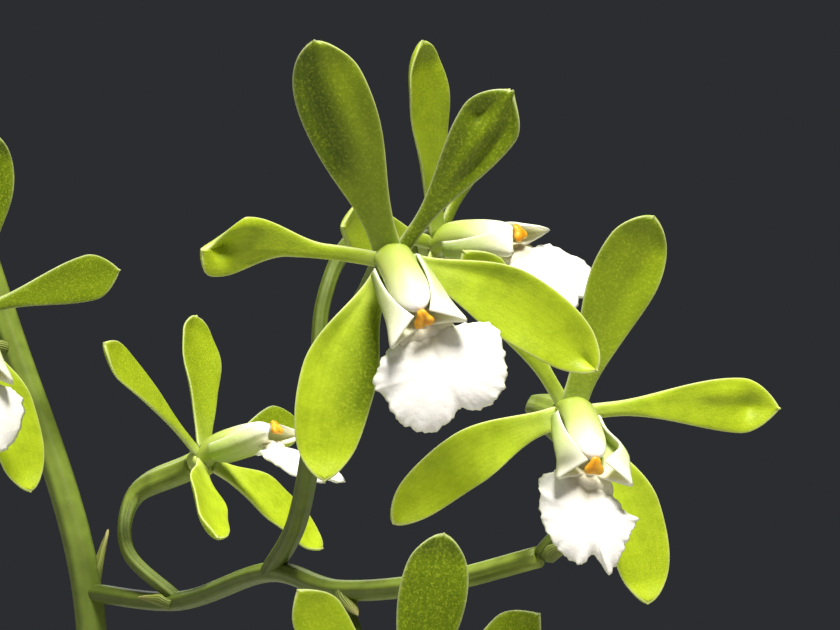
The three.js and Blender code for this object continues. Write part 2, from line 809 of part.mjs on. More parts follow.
function potSolid() {
  const { height, footRadius, rimRadius, rimHeight, rimStep, floor } = POT;
  const stepZ = height - rimHeight;
  const outerAt = (z) => potInner(z) + POT.wall;
  const body = lathe(
    [
      [0, 0],
      [footRadius - 1, 0],
      [footRadius, 1],
      [outerAt(stepZ - 1), stepZ - 1],
      [rimRadius - 1.5, stepZ],
      [rimRadius - 0.8, stepZ + 1],
      [rimRadius, height - 2],
      [rimRadius - 1.2, height - 0.4],
      [rimRadius - rimStep, height],
      [potInner(height) + 0.5, height - 1],
      [potInner(height - 4), height - 4],
      [potInner(floor + 3), floor + 3],
      [potInner(floor) - 3, floor],
      [0, floor],
    ],
    POT.sides,
  );
  const drains = range(POT.drains).map((k) => {
    const a = ((k + 0.5) * 2 * Math.PI) / POT.drains;
    const hole = new THREE.CylinderGeometry(POT.drainRadius, POT.drainRadius, floor * 4, 14);
    hole.rotateX(Math.PI / 2);
    hole.translate(POT.drainCircle * Math.cos(a), POT.drainCircle * Math.sin(a), 0);
    return solid(hole);
  });
  return without(body, drains);
}

function chipSolid(next) {
  const long = BARK.longest * (0.55 + 0.45 * next());
  const box = new THREE.BoxGeometry(long, long * (0.45 + 0.3 * next()), 3 + 2 * next());
  const corners = box.attributes.position;
  const nudge = range(8).map(() => [0, 1, 2].map(() => 0.72 + 0.28 * next()));
  for (const i of range(corners.count)) {
    const [x, y, z] = [corners.getX(i), corners.getY(i), corners.getZ(i)];
    const [a, b, c] = nudge[(x > 0) * 4 + (y > 0) * 2 + (z > 0)];
    corners.setXYZ(i, x * a, y * b, z * c);
  }
  box.rotateZ(next() * Math.PI * 2);
  box.rotateX((next() - 0.5) * 0.9);
  box.rotateY((next() - 0.5) * 0.9);
  const reach = (potInner(BARK.top) - 2 - 0.66 * long) * Math.sqrt(next());
  const a = next() * Math.PI * 2;
  box.translate(reach * Math.cos(a), reach * Math.sin(a), BARK.top - 0.4 + 1.6 * next());
  return solid(box);
}

function barkSolid() {
  const next = seeded(BARK.seed);
  const foot = POT.floor + 0.5;
  const core = lathe(
    [
      [0, foot],
      [potInner(foot) - 4, foot],
      [potInner(foot + 4) - 1, foot + 4],
      [potInner(BARK.top) - 1, BARK.top - 1.5],
      [potInner(BARK.top) - 6, BARK.top],
      [0, BARK.top],
    ],
    20,
  );
  const chips = range(BARK.chips).map(() => chipSolid(next));
  const cut = [rhizomeSolid(GAP), ...BULBS.map((bulb) => bulbSolid(bulb, GAP))];
  return largest(without(joined([core, ...chips]), cut));
}

// ---- the whole plant ----
const plant = new THREE.Group();
function add(name, shape, colour) {
  const mesh = new THREE.Mesh(geometryOf(shape), new THREE.MeshStandardMaterial(COLOURS[colour]));
  mesh.name = name;
  plant.add(mesh);
}

add("pot", potSolid(), "clay");
add("bark", barkSolid(), "bark");
const bulbSpaces = BULBS.map((bulb) => bulbSolid(bulb, GAP));
add("rhizome_and_roots", largest(without(rhizomeSolid(), bulbSpaces)), "rhizome");
BULBS.forEach((bulb, k) => add(`pseudobulb_${k + 1}`, bulbSolid(bulb), "bulb"));
LEAVES.forEach((leaf, k) => add(`leaf_${k + 1}`, leafSolid(leaf), "leaf"));
add("flower_stem", inflorescence(), "stem");
FLOWERS.forEach((flower, k) => {
  const { tepals, lip, column } = flowerSolids(flower);
  add(`flower_${k + 1}_tepals`, tepals, "tepal");
  add(`flower_${k + 1}_lip`, lip, "lip");
  add(`flower_${k + 1}_column`, column, "column");
});
BUDS.forEach((bud, k) => add(`bud_${k + 1}`, budSolid(bud), "bud"));

export default plant;
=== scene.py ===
"""A potted Encyclia isochila orchid: clay pot, bark, pseudobulbs, leaves and a stem of green flowers.

Shapes are worked out in millimetres and put into metres as they become meshes. A flower has its own
frame: x right, y up towards the dorsal sepal and z out of its face, all as seen from in front.
"""

import bpy
import numpy as np
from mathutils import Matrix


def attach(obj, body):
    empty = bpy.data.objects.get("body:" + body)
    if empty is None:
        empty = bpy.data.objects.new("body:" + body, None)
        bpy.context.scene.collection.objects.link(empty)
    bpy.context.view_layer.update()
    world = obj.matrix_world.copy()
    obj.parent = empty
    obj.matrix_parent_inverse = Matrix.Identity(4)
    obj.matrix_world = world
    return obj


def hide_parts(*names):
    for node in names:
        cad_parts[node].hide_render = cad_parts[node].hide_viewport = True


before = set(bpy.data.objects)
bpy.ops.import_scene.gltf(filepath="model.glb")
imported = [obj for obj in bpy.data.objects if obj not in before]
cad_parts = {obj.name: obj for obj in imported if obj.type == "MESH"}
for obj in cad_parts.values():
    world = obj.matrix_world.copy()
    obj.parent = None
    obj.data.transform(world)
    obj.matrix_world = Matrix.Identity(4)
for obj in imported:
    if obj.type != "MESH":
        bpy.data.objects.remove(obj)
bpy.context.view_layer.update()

MM = 0.001

# The point that the camera looks at, and the lens that gives the photograph's close view
VIEW_POINT = np.array([21.4, -50.0, 258.0])
VIEW_DISTANCE = 230.0
LENS = 157.7

POT = dict(height=86, foot=36, rim=52, rim_height=18, rim_step=3, wall=4.5, floor=5)
DRAIN = dict(count=4, radius=5, circle=20, drill=(-4, 4, 9))
BARK_TOP = 75.0
BULB_FOOT = 74.6
RHIZOME = dict(z=75.6, radius=3.0)
ROOT = dict(z=76.7, radius=1.2)
STEM = dict(foot=1.6, top=0.8, branch=0.75, pedicel=0.55, ovary=0.95)
HUB = dict(height=1.5, top=-0.5)


# ---- arithmetic on shapes ----
def smooth(x):
    """Zero below 0, one above 1, and 3x^2 - 2x^3 between."""
    x = np.clip(x, 0, 1)
    return x * x * (3 - 2 * x)


def spline(rows, x):
    """Catmull-Rom curve through rows of numbers, read at x from 0 to 1; ends run on straight."""
    rows = np.asarray(rows, float)
    n = len(rows) - 1
    padded = np.vstack([2 * rows[0] - rows[1], rows, 2 * rows[-1] - rows[-2]])
    s = np.clip(np.asarray(x, float), 0, 1) * n
    i = np.minimum(s.astype(int), n - 1)
    f = (s - i)[..., None]
    a, b, c, d = padded[i], padded[i + 1], padded[i + 2], padded[i + 3]
    return 0.5 * (2 * b + (c - a) * f + (2 * a - 5 * b + 4 * c - d) * f**2 + (3 * b - a - 3 * c + d) * f**3)


def circle(count):
    """Angles spread evenly round a circle."""
    return np.linspace(0, 2 * np.pi, count, endpoint=False)


def spread(*parts):
    """Values given by row, by column or for every point of a grid, stacked as points."""
    return np.stack(np.broadcast_arrays(*parts), -1)


def crowded(steps):
    """Places from -1 to 1 across a grid, closer together at both ends: the sine of even angles."""
    return np.sin(np.linspace(-np.pi / 2, np.pi / 2, steps + 1))[None]


def bell(x, width):
    """A bell: e to the power of -(x / width)^2."""
    return np.exp(-((x / width) ** 2))


def rounded(x, power, least=0.0):
    """One at x = 0 that falls to nothing at 1 and -1: the root of 1 - |x|^power."""
    return np.sqrt(np.clip(1 - np.abs(x) ** power, least, 1))


def unit(v):
    """Vectors scaled to length one."""
    return v / np.maximum(np.linalg.norm(v, axis=-1, keepdims=True), 1e-12)


def turned(axis, degrees):
    """Rotation matrix about x, y or z by the right-hand rule."""
    c, s = np.cos(np.radians(degrees)), np.sin(np.radians(degrees))
    i, j = {"x": (1, 2), "y": (2, 0), "z": (0, 1)}[axis]
    m = np.eye(3)
    m[i, i], m[i, j], m[j, i], m[j, j] = c, -s, s, c
    return m


def grid_normals(points):
    """Unit normals of a grid of points: the cross product of its two directions."""
    return unit(np.cross(np.gradient(points, axis=0), np.gradient(points, axis=1)))


# ---- parts of a mesh: v vertices, q four-sided faces, t triangles, place and tone for each vertex (painted shade on the flowers) ----
def sheet(points, thickness, place):
    """A thin closed body: the grid moved out by half its thickness on both sides, rims shared."""
    rows, cols = points.shape[:2]
    shift = grid_normals(points) * (thickness / 2)[..., None]
    front = np.arange(rows * cols).reshape(rows, cols)
    back = front + rows * cols
    rim = np.ones((rows, cols), bool)
    rim[1:-1, 1:-1] = False
    back[rim] = front[rim]
    corner = lambda g: np.stack([g[:-1, :-1], g[1:, :-1], g[1:, 1:], g[:-1, 1:]], -1).reshape(-1, 4)
    vertices = np.concatenate([(points + shift).reshape(-1, 3), (points - shift).reshape(-1, 3)])
    return dict(
        v=vertices,
        q=np.concatenate([corner(front), corner(back)[:, ::-1]]),
        t=np.zeros((0, 3), int),
        place=np.concatenate([place.reshape(-1, 3)] * 2),
        tone_and_painted_shade=np.zeros(len(vertices)),
    )


def rings(points):
    """A skin round closed rings of points (ring, point, xyz), with a fan of triangles at each end."""
    n, m = points.shape[:2]
    index = np.arange(n * m).reshape(n, m)
    over = np.roll(index, -1, axis=1)
    q = np.stack([index[:-1], over[:-1], over[1:], index[1:]], -1).reshape(-1, 4)
    ends = np.array([n * m, n * m + 1])
    fan = np.concatenate([spread(over[0], index[0], ends[0]), spread(index[-1], over[-1], ends[1])])
    v = np.concatenate([points.reshape(-1, 3), points[0].mean(0)[None], points[-1].mean(0)[None]])
    around, along = np.meshgrid(np.linspace(-1, 1, m), np.linspace(0, 1, n))
    place = spread(around, along, 0.0).reshape(-1, 3)
    place = np.concatenate([place, [[0, 0, 0]], [[0, 1, 0]]])
    return dict(v=v, q=q, t=fan, place=place, tone_and_painted_shade=np.zeros(len(v)))


def tube(path, radius, steps, sides, ribs=0.0):
    """A round stem on a spline: rings across its tangent, radius a function of x from 0 to 1.

    Ribs is the height share of six ribs that grow on its second half.
    """
    x = np.linspace(0, 1, steps + 1)
    centre = spline(path, x)
    tangent = unit(np.gradient(centre, axis=0))
    side = np.zeros_like(tangent)
    last = np.array([1.0, 0, 0]) if abs(tangent[0, 2]) > 0.8 else np.array([0, 0, 1.0])
    for k, along in enumerate(tangent):
        last = unit(last - along * np.dot(last, along))
        side[k] = last
    other = np.cross(tangent, side)
    a = circle(sides)
    r = radius(x)[:, None] * (1 + ribs * smooth((x - 0.5) / 0.4)[:, None] * np.cos(6 * a))
    return rings(
        centre[:, None]
        + r[..., None] * (np.cos(a)[None, :, None] * side[:, None] + np.sin(a)[None, :, None] * other[:, None])
    )


AXIS = 0.05  # the radius at which a lathe's outline stops short of its axis


def lathe(profile, sides):
    """A body turned about the z axis from rows of radius and height."""
    a = circle(sides)[None]
    r, z = np.asarray(profile, float).T[..., None]
    return rings(spread(r * np.cos(a), r * np.sin(a), z))


def joined(parts):
    """Several mesh parts as one, with their faces counted on."""
    starts = np.cumsum([0] + [len(p["v"]) for p in parts])
    whole = {k: np.concatenate([p[k] for p in parts]) for k in ("v", "place", "tone_and_painted_shade")}
    whole["q"] = np.concatenate([p["q"] + s for p, s in zip(parts, starts)])
    whole["t"] = np.concatenate([p["t"] + s for p, s in zip(parts, starts)])
    return whole


def moved(part, matrix, at=(0, 0, 0)):
    """A mesh part turned by a matrix and then shifted."""
    return {**part, "v": part["v"] @ matrix.T + np.asarray(at, float)}


def piece(name, part, material, slot, *nodes, smooth_faces=True):
    """Puts a mesh part into the scene as one object that stands for the given solids."""
    used, loops = np.unique(np.concatenate([part["q"].ravel(), part["t"].ravel()]), return_inverse=True)
    sizes = np.concatenate([np.full(len(part["q"]), 4), np.full(len(part["t"]), 3)])
    mesh = bpy.data.meshes.new(name)
    mesh.vertices.add(len(used))
    mesh.vertices.foreach_set("co", (part["v"][used] * MM).astype(np.float32).ravel())
    mesh.loops.add(len(loops))
    mesh.loops.foreach_set("vertex_index", loops.astype(np.int32))
    mesh.polygons.add(len(sizes))
    mesh.polygons.foreach_set("loop_start", np.concatenate([[0], np.cumsum(sizes)[:-1]]).astype(np.int32))
    mesh.polygons.foreach_set("use_smooth", np.full(len(sizes), smooth_faces))
    place = mesh.attributes.new("place", "FLOAT_VECTOR", "POINT")
    place.data.foreach_set("vector", part["place"][used].astype(np.float32).ravel())
    tone_and_painted_shade = mesh.attributes.new("tone_and_painted_shade", "FLOAT", "POINT")
    tone_and_painted_shade.data.foreach_set("value", part["tone_and_painted_shade"][used].astype(np.float32))
    mesh.update(calc_edges=True)
    mesh.validate()
    mesh.materials.append(material)
    thing = bpy.data.objects.new(name, mesh)
    bpy.context.scene.collection.objects.link(thing)
    if nodes:
        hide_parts(*nodes)
    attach(thing, "root")
    return thing


# ---- materials ----
def linear(code):
    """An sRGB hex colour as linear red, green, blue and alpha."""
    c = np.array([int(code[i : i + 2], 16) for i in (1, 3, 5)]) / 255
    c = np.where(c <= 0.04045, c / 12.92, ((c + 0.055) / 1.055) ** 2.4)
    return (*c, 1.0)


def add(tree, kind, inputs=None, stops=None, **settings):
    """Adds a node with its settings, colour stops, values and links."""
    made = tree.nodes.new("ShaderNode" + kind)
    for key, value in settings.items():
        setattr(made, key, value)
    for k, (at, code) in enumerate(stops or []):
        elements = made.color_ramp.elements
        stop = elements[k] if k < 2 else elements.new(at)
        stop.position = at
        stop.color = linear(code)
    for key, value in (inputs or {}).items():
        if isinstance(value, bpy.types.NodeSocket):
            tree.links.new(value, made.inputs[key])
        else:
            made.inputs[key].default_value = value
    return made


def mix(tree, share, colour, code):
    """A colour with an sRGB hex colour laid over it by a share."""
    return add(tree, "Mix", {0: share, 6: colour, 7: linear(code)}, data_type="RGBA").outputs[2]


def laid_over(tree, colour, code, value, low, high, most):
    """A colour with a hex colour over it: its share grows to its most as a value goes from low to high."""
    share = add(tree, "MapRange", {0: value, 1: low, 2: high, 3: 0.0, 4: most}).outputs[0]
    return mix(tree, share, colour, code)


def noise(tree, where, scale, detail, **more):
    """Cloudy noise whose patches are 1000 / scale mm across."""
    return add(tree, "TexNoise", {"Vector": where, "Scale": scale, "Detail": detail, **more}).outputs[0]


def relief(tree, strength, depth, height, below=None):
    """Relief with a depth in metres, over the relief below it."""
    base = {"Normal": below} if below else {}
    return add(tree, "Bump", {"Strength": strength, "Distance": depth, "Height": height, **base}).outputs[0]


def ramp(tree, value, stops):
    """A value read on a scale of colours; the first two stops are its ends."""
    return add(tree, "ValToRGB", {0: value}, stops=stops).outputs[0]


def sine_lines(tree, across, turns):
    """Lines along an organ: the sine of its place across, times a number of turns."""
    angle = add(tree, "Math", {0: across, 1: turns}, operation="MULTIPLY").outputs[0]
    return add(tree, "Math", {0: angle}, operation="SINE").outputs[0]


def new_material(name):
    """An empty material with the sockets that every pattern here starts from."""
    material = bpy.data.materials.new(name)
    material.use_nodes = True
    tree = material.node_tree
    tree.nodes.clear()
    place = add(tree, "Attribute", attribute_name="place").outputs["Vector"]
    split = add(tree, "SeparateXYZ", {0: place}).outputs
    where = add(tree, "TexCoord").outputs["Object"]
    tone_and_painted_shade = add(tree, "Attribute", attribute_name="tone_and_painted_shade").outputs["Fac"]
    return material, tree, where, split, tone_and_painted_shade


def finish_material(tree, colour, bump, **surface):
    """Ends a material: principled surface with its colour, bump and constant values."""
    values = {key.replace("_", " "): value for key, value in surface.items()}
    shader = add(tree, "BsdfPrincipled", {"Base Color": colour, "Normal": bump, **values})
    add(tree, "OutputMaterial", {"Surface": shader.outputs[0]})


def tepal_material():
    """Living sepal and petal: fleshy waxy tissue that lets some light through."""
    # Cells are 0.16 mm across and painted glints are pale flecks of 0.2 mm, blotches are 1.1 mm, and the rim is a
    # pale line.
    material, tree, where, split, tone_and_painted_shade = new_material("fleshy green petal tissue")
    greens = [(0.0, "#cadb80"), (1.0, "#aabf22"), (0.1, "#b6ca4a"), (0.3, "#adc42a"), (0.75, "#a8be1e")]
    along = ramp(tree, split[1], greens)
    # Painted shade: the tone deepens the green towards #536804 on tepals and sides that face away from the light
    deep = mix(tree, tone_and_painted_shade, along, "#536804")
    blotch = noise(tree, where, 900, 4.0)
    mottled = laid_over(tree, deep, "#73890a", blotch, 0.42, 0.68, 0.32)
    vein = sine_lines(tree, split[0], 26.0)
    veined = laid_over(tree, mottled, "#849a14", vein, 0.2, 1.0, 0.14)
    cells = add(tree, "TexVoronoi", {"Vector": where, "Scale": 6200}).outputs[0]
    # Painted glints: pale #bccb38 flecks where the fine noise is high, standing in for light glinting off the cells
    grain = noise(tree, where, 5200, 3.0, Roughness=0.7)
    painted_glints = laid_over(tree, veined, "#bccb38", grain, 0.5, 0.66, 0.34)
    rim = mix(tree, split[2], painted_glints, "#e4eaba")
    rough = relief(tree, 0.35, 0.00003, cells)
    swell = relief(tree, 0.4, 0.00008, blotch, rough)
    finish_material(
        tree, rim, swell, Roughness=0.44, IOR=1.42, Specular_IOR_Level=0.3,
        Subsurface_Weight=0.22, Subsurface_Radius=(0.9, 1.0, 0.25), Subsurface_Scale=0.0012,
    )
    return material


def lip_material():
    """Living lip: bright white crystalline tissue, pale green where it joins the flower."""
    # Cells of 0.14 mm scatter all the light, with ruffles of 0.7 mm and faint greyish veins in a fan.
    material, tree, where, split, tone_and_painted_shade = new_material("crystalline white lip tissue")
    to_white = [(0.0, "#8ea83c"), (1.0, "#fffefb"), (0.16, "#a9bd62"), (0.3, "#c2ce8c"), (0.46, "#eceecd")]
    along = ramp(tree, split[1], [*to_white, (0.56, "#fdfcf5")])
    # Painted shadow: the tone lays grey-beige #bfb578 where the side lobes, column and anther shade the trough,
    # throat and midlobe
    throat = mix(tree, tone_and_painted_shade, along, "#bfb578")
    wave = sine_lines(tree, split[0], 34.0)
    veined = laid_over(tree, throat, "#dfe0c8", wave, 0.5, 1.0, 0.1)
    rim = mix(tree, split[2], veined, "#ecefd2")
    cells = add(tree, "TexVoronoi", {"Vector": where, "Scale": 7000}).outputs[0]
    ruffle = noise(tree, where, 1400, 3.0)
    fine = relief(tree, 0.25, 0.00002, cells)
    soft = relief(tree, 0.5, 0.00012, ruffle, fine)
    finish_material(
        tree, rim, soft, Roughness=0.55, IOR=1.4,
        Subsurface_Weight=0.3, Subsurface_Radius=(1.0, 1.0, 0.8), Subsurface_Scale=0.0012,
    )
    return material


def column_material():
    """Living column: a smooth waxy rod, yellow-green at its foot and white at its tip."""
    material, tree, where, split, _ = new_material("waxy column tissue")
    # Its cells are 0.24 mm across.
    to_white = [(0.0, "#93a636"), (1.0, "#ffffff"), (0.3, "#a1b346"), (0.55, "#bcca72"), (0.78, "#e8eebc")]
    along = ramp(tree, split[1], to_white)
    cells = noise(tree, where, 4200, 2.0)
    fine = relief(tree, 0.3, 0.00002, cells)
    finish_material(
        tree, along, fine, Roughness=0.34, IOR=1.43, Coat_Weight=0.15, Coat_Roughness=0.25,
        Subsurface_Weight=0.3, Subsurface_Radius=(1.0, 1.0, 0.6), Subsurface_Scale=0.001,
    )
    return material


def anther_material():
    """Anther cap: orange-yellow waxy cap with deeper orange patches."""
    # The patches are 0.45 mm across.
    material, tree, where, _, _ = new_material("waxy orange anther cap")
    patch = noise(tree, where, 2200, 2.0)
    colour = ramp(tree, patch, [(0.35, "#dd9614"), (0.7, "#f3c33c")])
    bump = relief(tree, 0.3, 0.00004, patch)
    finish_material(tree, colour, bump, Roughness=0.4, IOR=1.45, Subsurface_Weight=0.2, Subsurface_Scale=0.0006)
    return material


def plant_material(name, stops, dark, scale, stripes, stripe_share, bump_depth, roughness, **surface):
    """Plant skin: colour along the organ, dark blotches 1000 / scale mm across and lengthwise fibres."""
    material, tree, where, split, _ = new_material(name)
    along = ramp(tree, split[1], stops)
    blotch = noise(tree, where, scale, 5.0)
    mottled = laid_over(tree, along, dark, blotch, 0.4, 0.7, 0.45)
    fibre = sine_lines(tree, split[0], stripes)
    colour = laid_over(tree, mottled, dark, fibre, 0.0, 1.0, stripe_share)
    lines = relief(tree, 0.35, bump_depth, fibre)
    skin = relief(tree, 0.4, bump_depth, blotch, lines)
    finish_material(tree, colour, skin, Roughness=roughness, IOR=1.45, **surface)
    return material


def bark_material():
    """Fir bark chips: layered reddish brown cork, dark between its layers."""
    # Layers are about 2.4 mm apart, their grain is 0.5 mm, and each chip has its own shade.
    material, tree, where, _, tone_and_painted_shade = new_material("fir bark chips")
    layers = noise(tree, where, 420, 6.0, Distortion=1.2)
    chip = ramp(tree, tone_and_painted_shade, [(0.0, "#3c2417"), (1.0, "#8c6242"), (0.5, "#61402a")])
    colour = laid_over(tree, chip, "#2c1a12", layers, 0.35, 0.7, 0.65)
    grain = noise(tree, where, 1900, 4.0)
    coarse = relief(tree, 0.8, 0.0006, layers)
    fine = relief(tree, 0.5, 0.0002, grain, coarse)
    finish_material(tree, colour, fine, Roughness=0.9, IOR=1.4)
    return material


def clay_material():
    """Unglazed terracotta: thrown and fired red clay, with turning rings and lime bloom."""
    # Turning rings are about 1.6 mm apart, grit is 0.4 mm, and the lime shows as pale patches of 13 mm.
    material, tree, where, _, _ = new_material("unglazed terracotta")
    cloud = noise(tree, where, 38, 6.0, Roughness=0.62)
    body = ramp(tree, cloud, [(0.3, "#a3553a"), (0.75, "#c67a56"), (0.5, "#b5664a")])
    lime = noise(tree, where, 75, 8.0, Roughness=0.7)
    limed = laid_over(tree, body, "#dcc4b0", lime, 0.56, 0.74, 0.5)
    grit = noise(tree, where, 2600, 3.0)
    colour = laid_over(tree, limed, "#7d3f2a", grit, 0.62, 0.72, 0.4)
    turning = add(
        tree,
        "TexWave",
        {"Vector": where, "Scale": 196, "Distortion": 1.2, "Detail": 2.0, "Detail Scale": 1.5},
        bands_direction="Z",
    ).outputs[1]
    ringed = relief(tree, 0.12, 0.0003, turning)
    gritty = relief(tree, 0.45, 0.00015, grit, ringed)
    finish_material(tree, colour, gritty, Roughness=0.86, IOR=1.5)
    return material


def floor_material():
    """Matt studio paper: a pale warm grey sheet with 3 mm clouds of fibre."""
    material, tree, where, _, _ = new_material("pale studio paper")
    fibre = noise(tree, where, 300, 3.0)
    colour = ramp(tree, fibre, [(0.3, "#adaba7"), (0.7, "#b5b3af")])
    bump = relief(tree, 0.1, 0.0002, fibre)
    finish_material(tree, colour, bump, Roughness=0.85)
    return material


TEPAL = tepal_material()
LIP = lip_material()
COLUMN = column_material()
ANTHER = anther_material()
# Living stem: fibres under its skin show as faint lines, and blotches are 1.4 mm
STEM_SKIN = plant_material(
    "fibrous flower stem",
    [(0.0, "#5a6a24"), (1.0, "#93a83c"), (0.5, "#6f8230")],
    "#4d5a20", scale=700, stripes=20.0, stripe_share=0.12, bump_depth=0.0001, roughness=0.46,
    Subsurface_Weight=0.08, Subsurface_Scale=0.001,
)
# Living leaf: thick cuticle with a soft sheen, many fine veins along it, and 11 mm clouds
LEAF_SKIN = plant_material(
    "leathery strap leaf",
    [(0.0, "#8d9f4e"), (1.0, "#8f9a3c"), (0.08, "#64873a"), (0.5, "#4d7a2e"), (0.93, "#567f30")],
    "#315a1f", scale=90, stripes=150.0, stripe_share=0.16, bump_depth=0.00012, roughness=0.36,
    Subsurface_Weight=0.06, Subsurface_Scale=0.001, Coat_Weight=0.12, Coat_Roughness=0.3,
)
# Living storage stem: smooth skin drawn into fine wrinkles as it ages, with 8 mm clouds
BULB_SKIN = plant_material(
    "smooth wrinkled pseudobulb skin",
    [(0.0, "#8e9250"), (1.0, "#86a044"), (0.35, "#86a03f"), (0.7, "#7a9a3a")],
    "#5c7a2a", scale=130, stripes=90.0, stripe_share=0.1, bump_depth=0.0002, roughness=0.4,
    Subsurface_Weight=0.08, Subsurface_Scale=0.002,
)
# Dead leaf base: dry and matt as paper, with strong fibres and 6 mm stains
SHEATH = plant_material(
    "dry papery sheath",
    [(0.0, "#8a7355"), (1.0, "#c9b48c"), (0.5, "#ab946c")],
    "#6b5338", scale=160, stripes=120.0, stripe_share=0.45, bump_depth=0.0002, roughness=0.75,
)
# Half dried bract: thin green tissue with pale ends, veined, with 2 mm blotches
BRACT_SKIN = plant_material(
    "thin green bract",
    [(0.0, "#6f7f34"), (1.0, "#a59a62"), (0.6, "#87903f")],
    "#5a652a", scale=500, stripes=40.0, stripe_share=0.25, bump_depth=0.0001, roughness=0.6,
)
# Dry air root: dead spongy cells make it matt silver, and its tip stays green; clouds are 4 mm
ROOT_SKIN = plant_material(
    "silvery root velamen",
    [(0.0, "#8f8b70"), (1.0, "#9fae6a"), (0.5, "#b9b8a2"), (0.93, "#b3b493")],
    "#7c7656", scale=260, stripes=12.0, stripe_share=0.1, bump_depth=0.0002, roughness=0.8,
)
# Living bud: the tepals' tissue, closed and paler at its foot, with 1.1 mm blotches
BUD_SKIN = plant_material(
    "closed bud tissue",
    [(0.0, "#b9cb62"), (1.0, "#94aa30"), (0.4, "#a6ba3c")],
    "#7f951f", scale=900, stripes=24.0, stripe_share=0.14, bump_depth=0.0001, roughness=0.42,
    Subsurface_Weight=0.2, Subsurface_Scale=0.0012,
)
BARK = bark_material()
CLAY = clay_material()

# ---- blades: sepals, petals and leaves ----
BLADE = dict(
    claw=1.6, wide=4.6, claw_end=0.06, wide_at=0.6, blunt=2.3, point=0.5, lift=8, curl=-6, hook=30,
    hook_at=0.82, sweep=0, roll=0, cup=28, cup_tip=45, root_radius=0.8, root_height=HUB["top"] - 0.4,
    nub=0.24, wave=0.05, waves=2.3, shade=(0, 0, 1), thick=0.56, groove=0.0, over={}, under={}, dents=(),
)
# A blade's tip, in shares of its length: where its sides close, where its small point begins and where it
# rounds off over a reach, and the least half width in mm
TIP = dict(closes=0.99, nub=0.9, rounds=0.965, reach=0.0351, least=0.03)


def half_width(b, t):
    """Half the width of a blade's side: from claw to widest place, then (1 - u^blunt)^point to its tip."""
    grown = smooth((t - b["claw_end"]) / (b["wide_at"] - b["claw_end"]))
    past = np.clip((t / TIP["closes"] - b["wide_at"]) / (1 - b["wide_at"]), 0, 1)
    width = (b["claw"] + (b["wide"] - b["claw"]) * grown) * (1 - past ** b["blunt"]) ** b["point"]
    nub = b["nub"] * rounded(np.clip(t - TIP["rounds"], 0, 1) / TIP["reach"], 2) * (t > TIP["nub"])
    return np.maximum(np.maximum(width, nub) / 2, TIP["least"])


MIDRIB_STEPS = 240
ROW_CROWDING = 1.45  # the power by which a blade's rows crowd towards its tip
RIM_LINE = dict(width=0.04, share=0.45)  # the pale line on a blade's rim: its width in mm and its strength


def blade(given, rows, cols, tone_and_painted_shade=0.0):
    """A blade from its claw to its tip, t along it and s from -1 to 1 across it.

    Its midrib starts at a compass azimuth and climbs by lift + curl * t, and by hook near the tip. Each
    side has its half width. Across it is an arc of half-angle cup, its margin waves a little, dents are
    bell-shaped hollows or swellings, and the thickness falls to nothing at the rim. Its tone is painted
    shade over the whole blade, and shade holds how much more painted shade darkens the s > 0 side, and
    from where to where along the blade.
    """
    b = {**BLADE, **given}
    fine = np.linspace(0, 1, MIDRIB_STEPS + 1)
    hook = lambda t: smooth((t - b["hook_at"]) / (1 - b["hook_at"]))
    pitch = lambda t: np.radians(b["lift"] + b["curl"] * t + b["hook"] * hook(t))
    head = lambda t: np.radians(90 - b["az"] + b["sweep"] * t)
    flat = lambda t: np.stack([np.cos(head(t)), np.sin(head(t))], -1) * np.cos(pitch(t))[..., None]
    ray = lambda t: np.concatenate([flat(t), np.sin(pitch(t))[..., None]], -1)
    middle = ray((fine[1:] + fine[:-1]) / 2) * (b["length"] / MIDRIB_STEPS)
    root = np.array([np.cos(head(0)) * b["root_radius"], np.sin(head(0)) * b["root_radius"], b["root_height"]])
    midrib = root + np.concatenate([np.zeros((1, 3)), np.cumsum(middle, 0)])
    x = np.linspace(0, 1, rows + 1)
    t = 1 - (1 - x) ** ROW_CROWDING
    s = crowded(cols)
    centre = np.stack([np.interp(t, fine, midrib[:, k]) for k in range(3)], -1)
    level = np.stack([-np.sin(head(t)), np.cos(head(t)), np.zeros_like(t)], -1)
    up = np.cross(ray(t), level)
    turn = np.radians(b["roll"])
    side = level * np.cos(turn) + up * np.sin(turn)
    normal = up * np.cos(turn) - level * np.sin(turn)
    t = t[:, None]
    half = np.where(s < 0, half_width({**b, **b["under"]}, t), half_width({**b, **b["over"]}, t))
    cup = np.radians(b["cup"] + (b["cup_tip"] - b["cup"]) * hook(t))
    sideways = half * np.sin(cup * s) / cup
    rise = half * (1 - np.cos(cup * s)) / cup
    rise = rise + b["wave"] * half * np.abs(s) ** 3 * np.sin(2 * np.pi * b["waves"] * t + 2.1 * np.sign(s))
    rise = rise - b["groove"] * bell(s, 0.12) * smooth((1 - t) / 0.1)
    for t_at, s_at, depth, t_size, s_size in b["dents"]:
        rise = rise - depth * bell(t - t_at, t_size) * bell(s - s_at, s_size)
    points = centre[:, None] + sideways[..., None] * side[:, None] + rise[..., None] * normal[:, None]
    body = rounded(s, 4) * (1 - 0.3 * s**2) * rounded(t, 24)
    margin = np.minimum(half * (1 - np.abs(s)), (1 - t) * b["length"])
    edge = RIM_LINE["share"] * np.exp(-margin / RIM_LINE["width"])
    place = spread(s, t, edge)
    made = sheet(points, b["thick"] * body, place)
    # Painted shade: the tone darkens the whole blade, and the shade darkens its s > 0 side between start and end
    deeper, start, end = b["shade"]
    across_blade, along_blade = made["place"][:, 0], made["place"][:, 1]
    reach = smooth((along_blade - start) / 0.25) * smooth((end - along_blade) / 0.25)
    return {**made, "tone_and_painted_shade": b.get("tone_and_painted_shade", tone_and_painted_shade) + deeper * smooth(0.35 + 0.8 * across_blade) * reach}


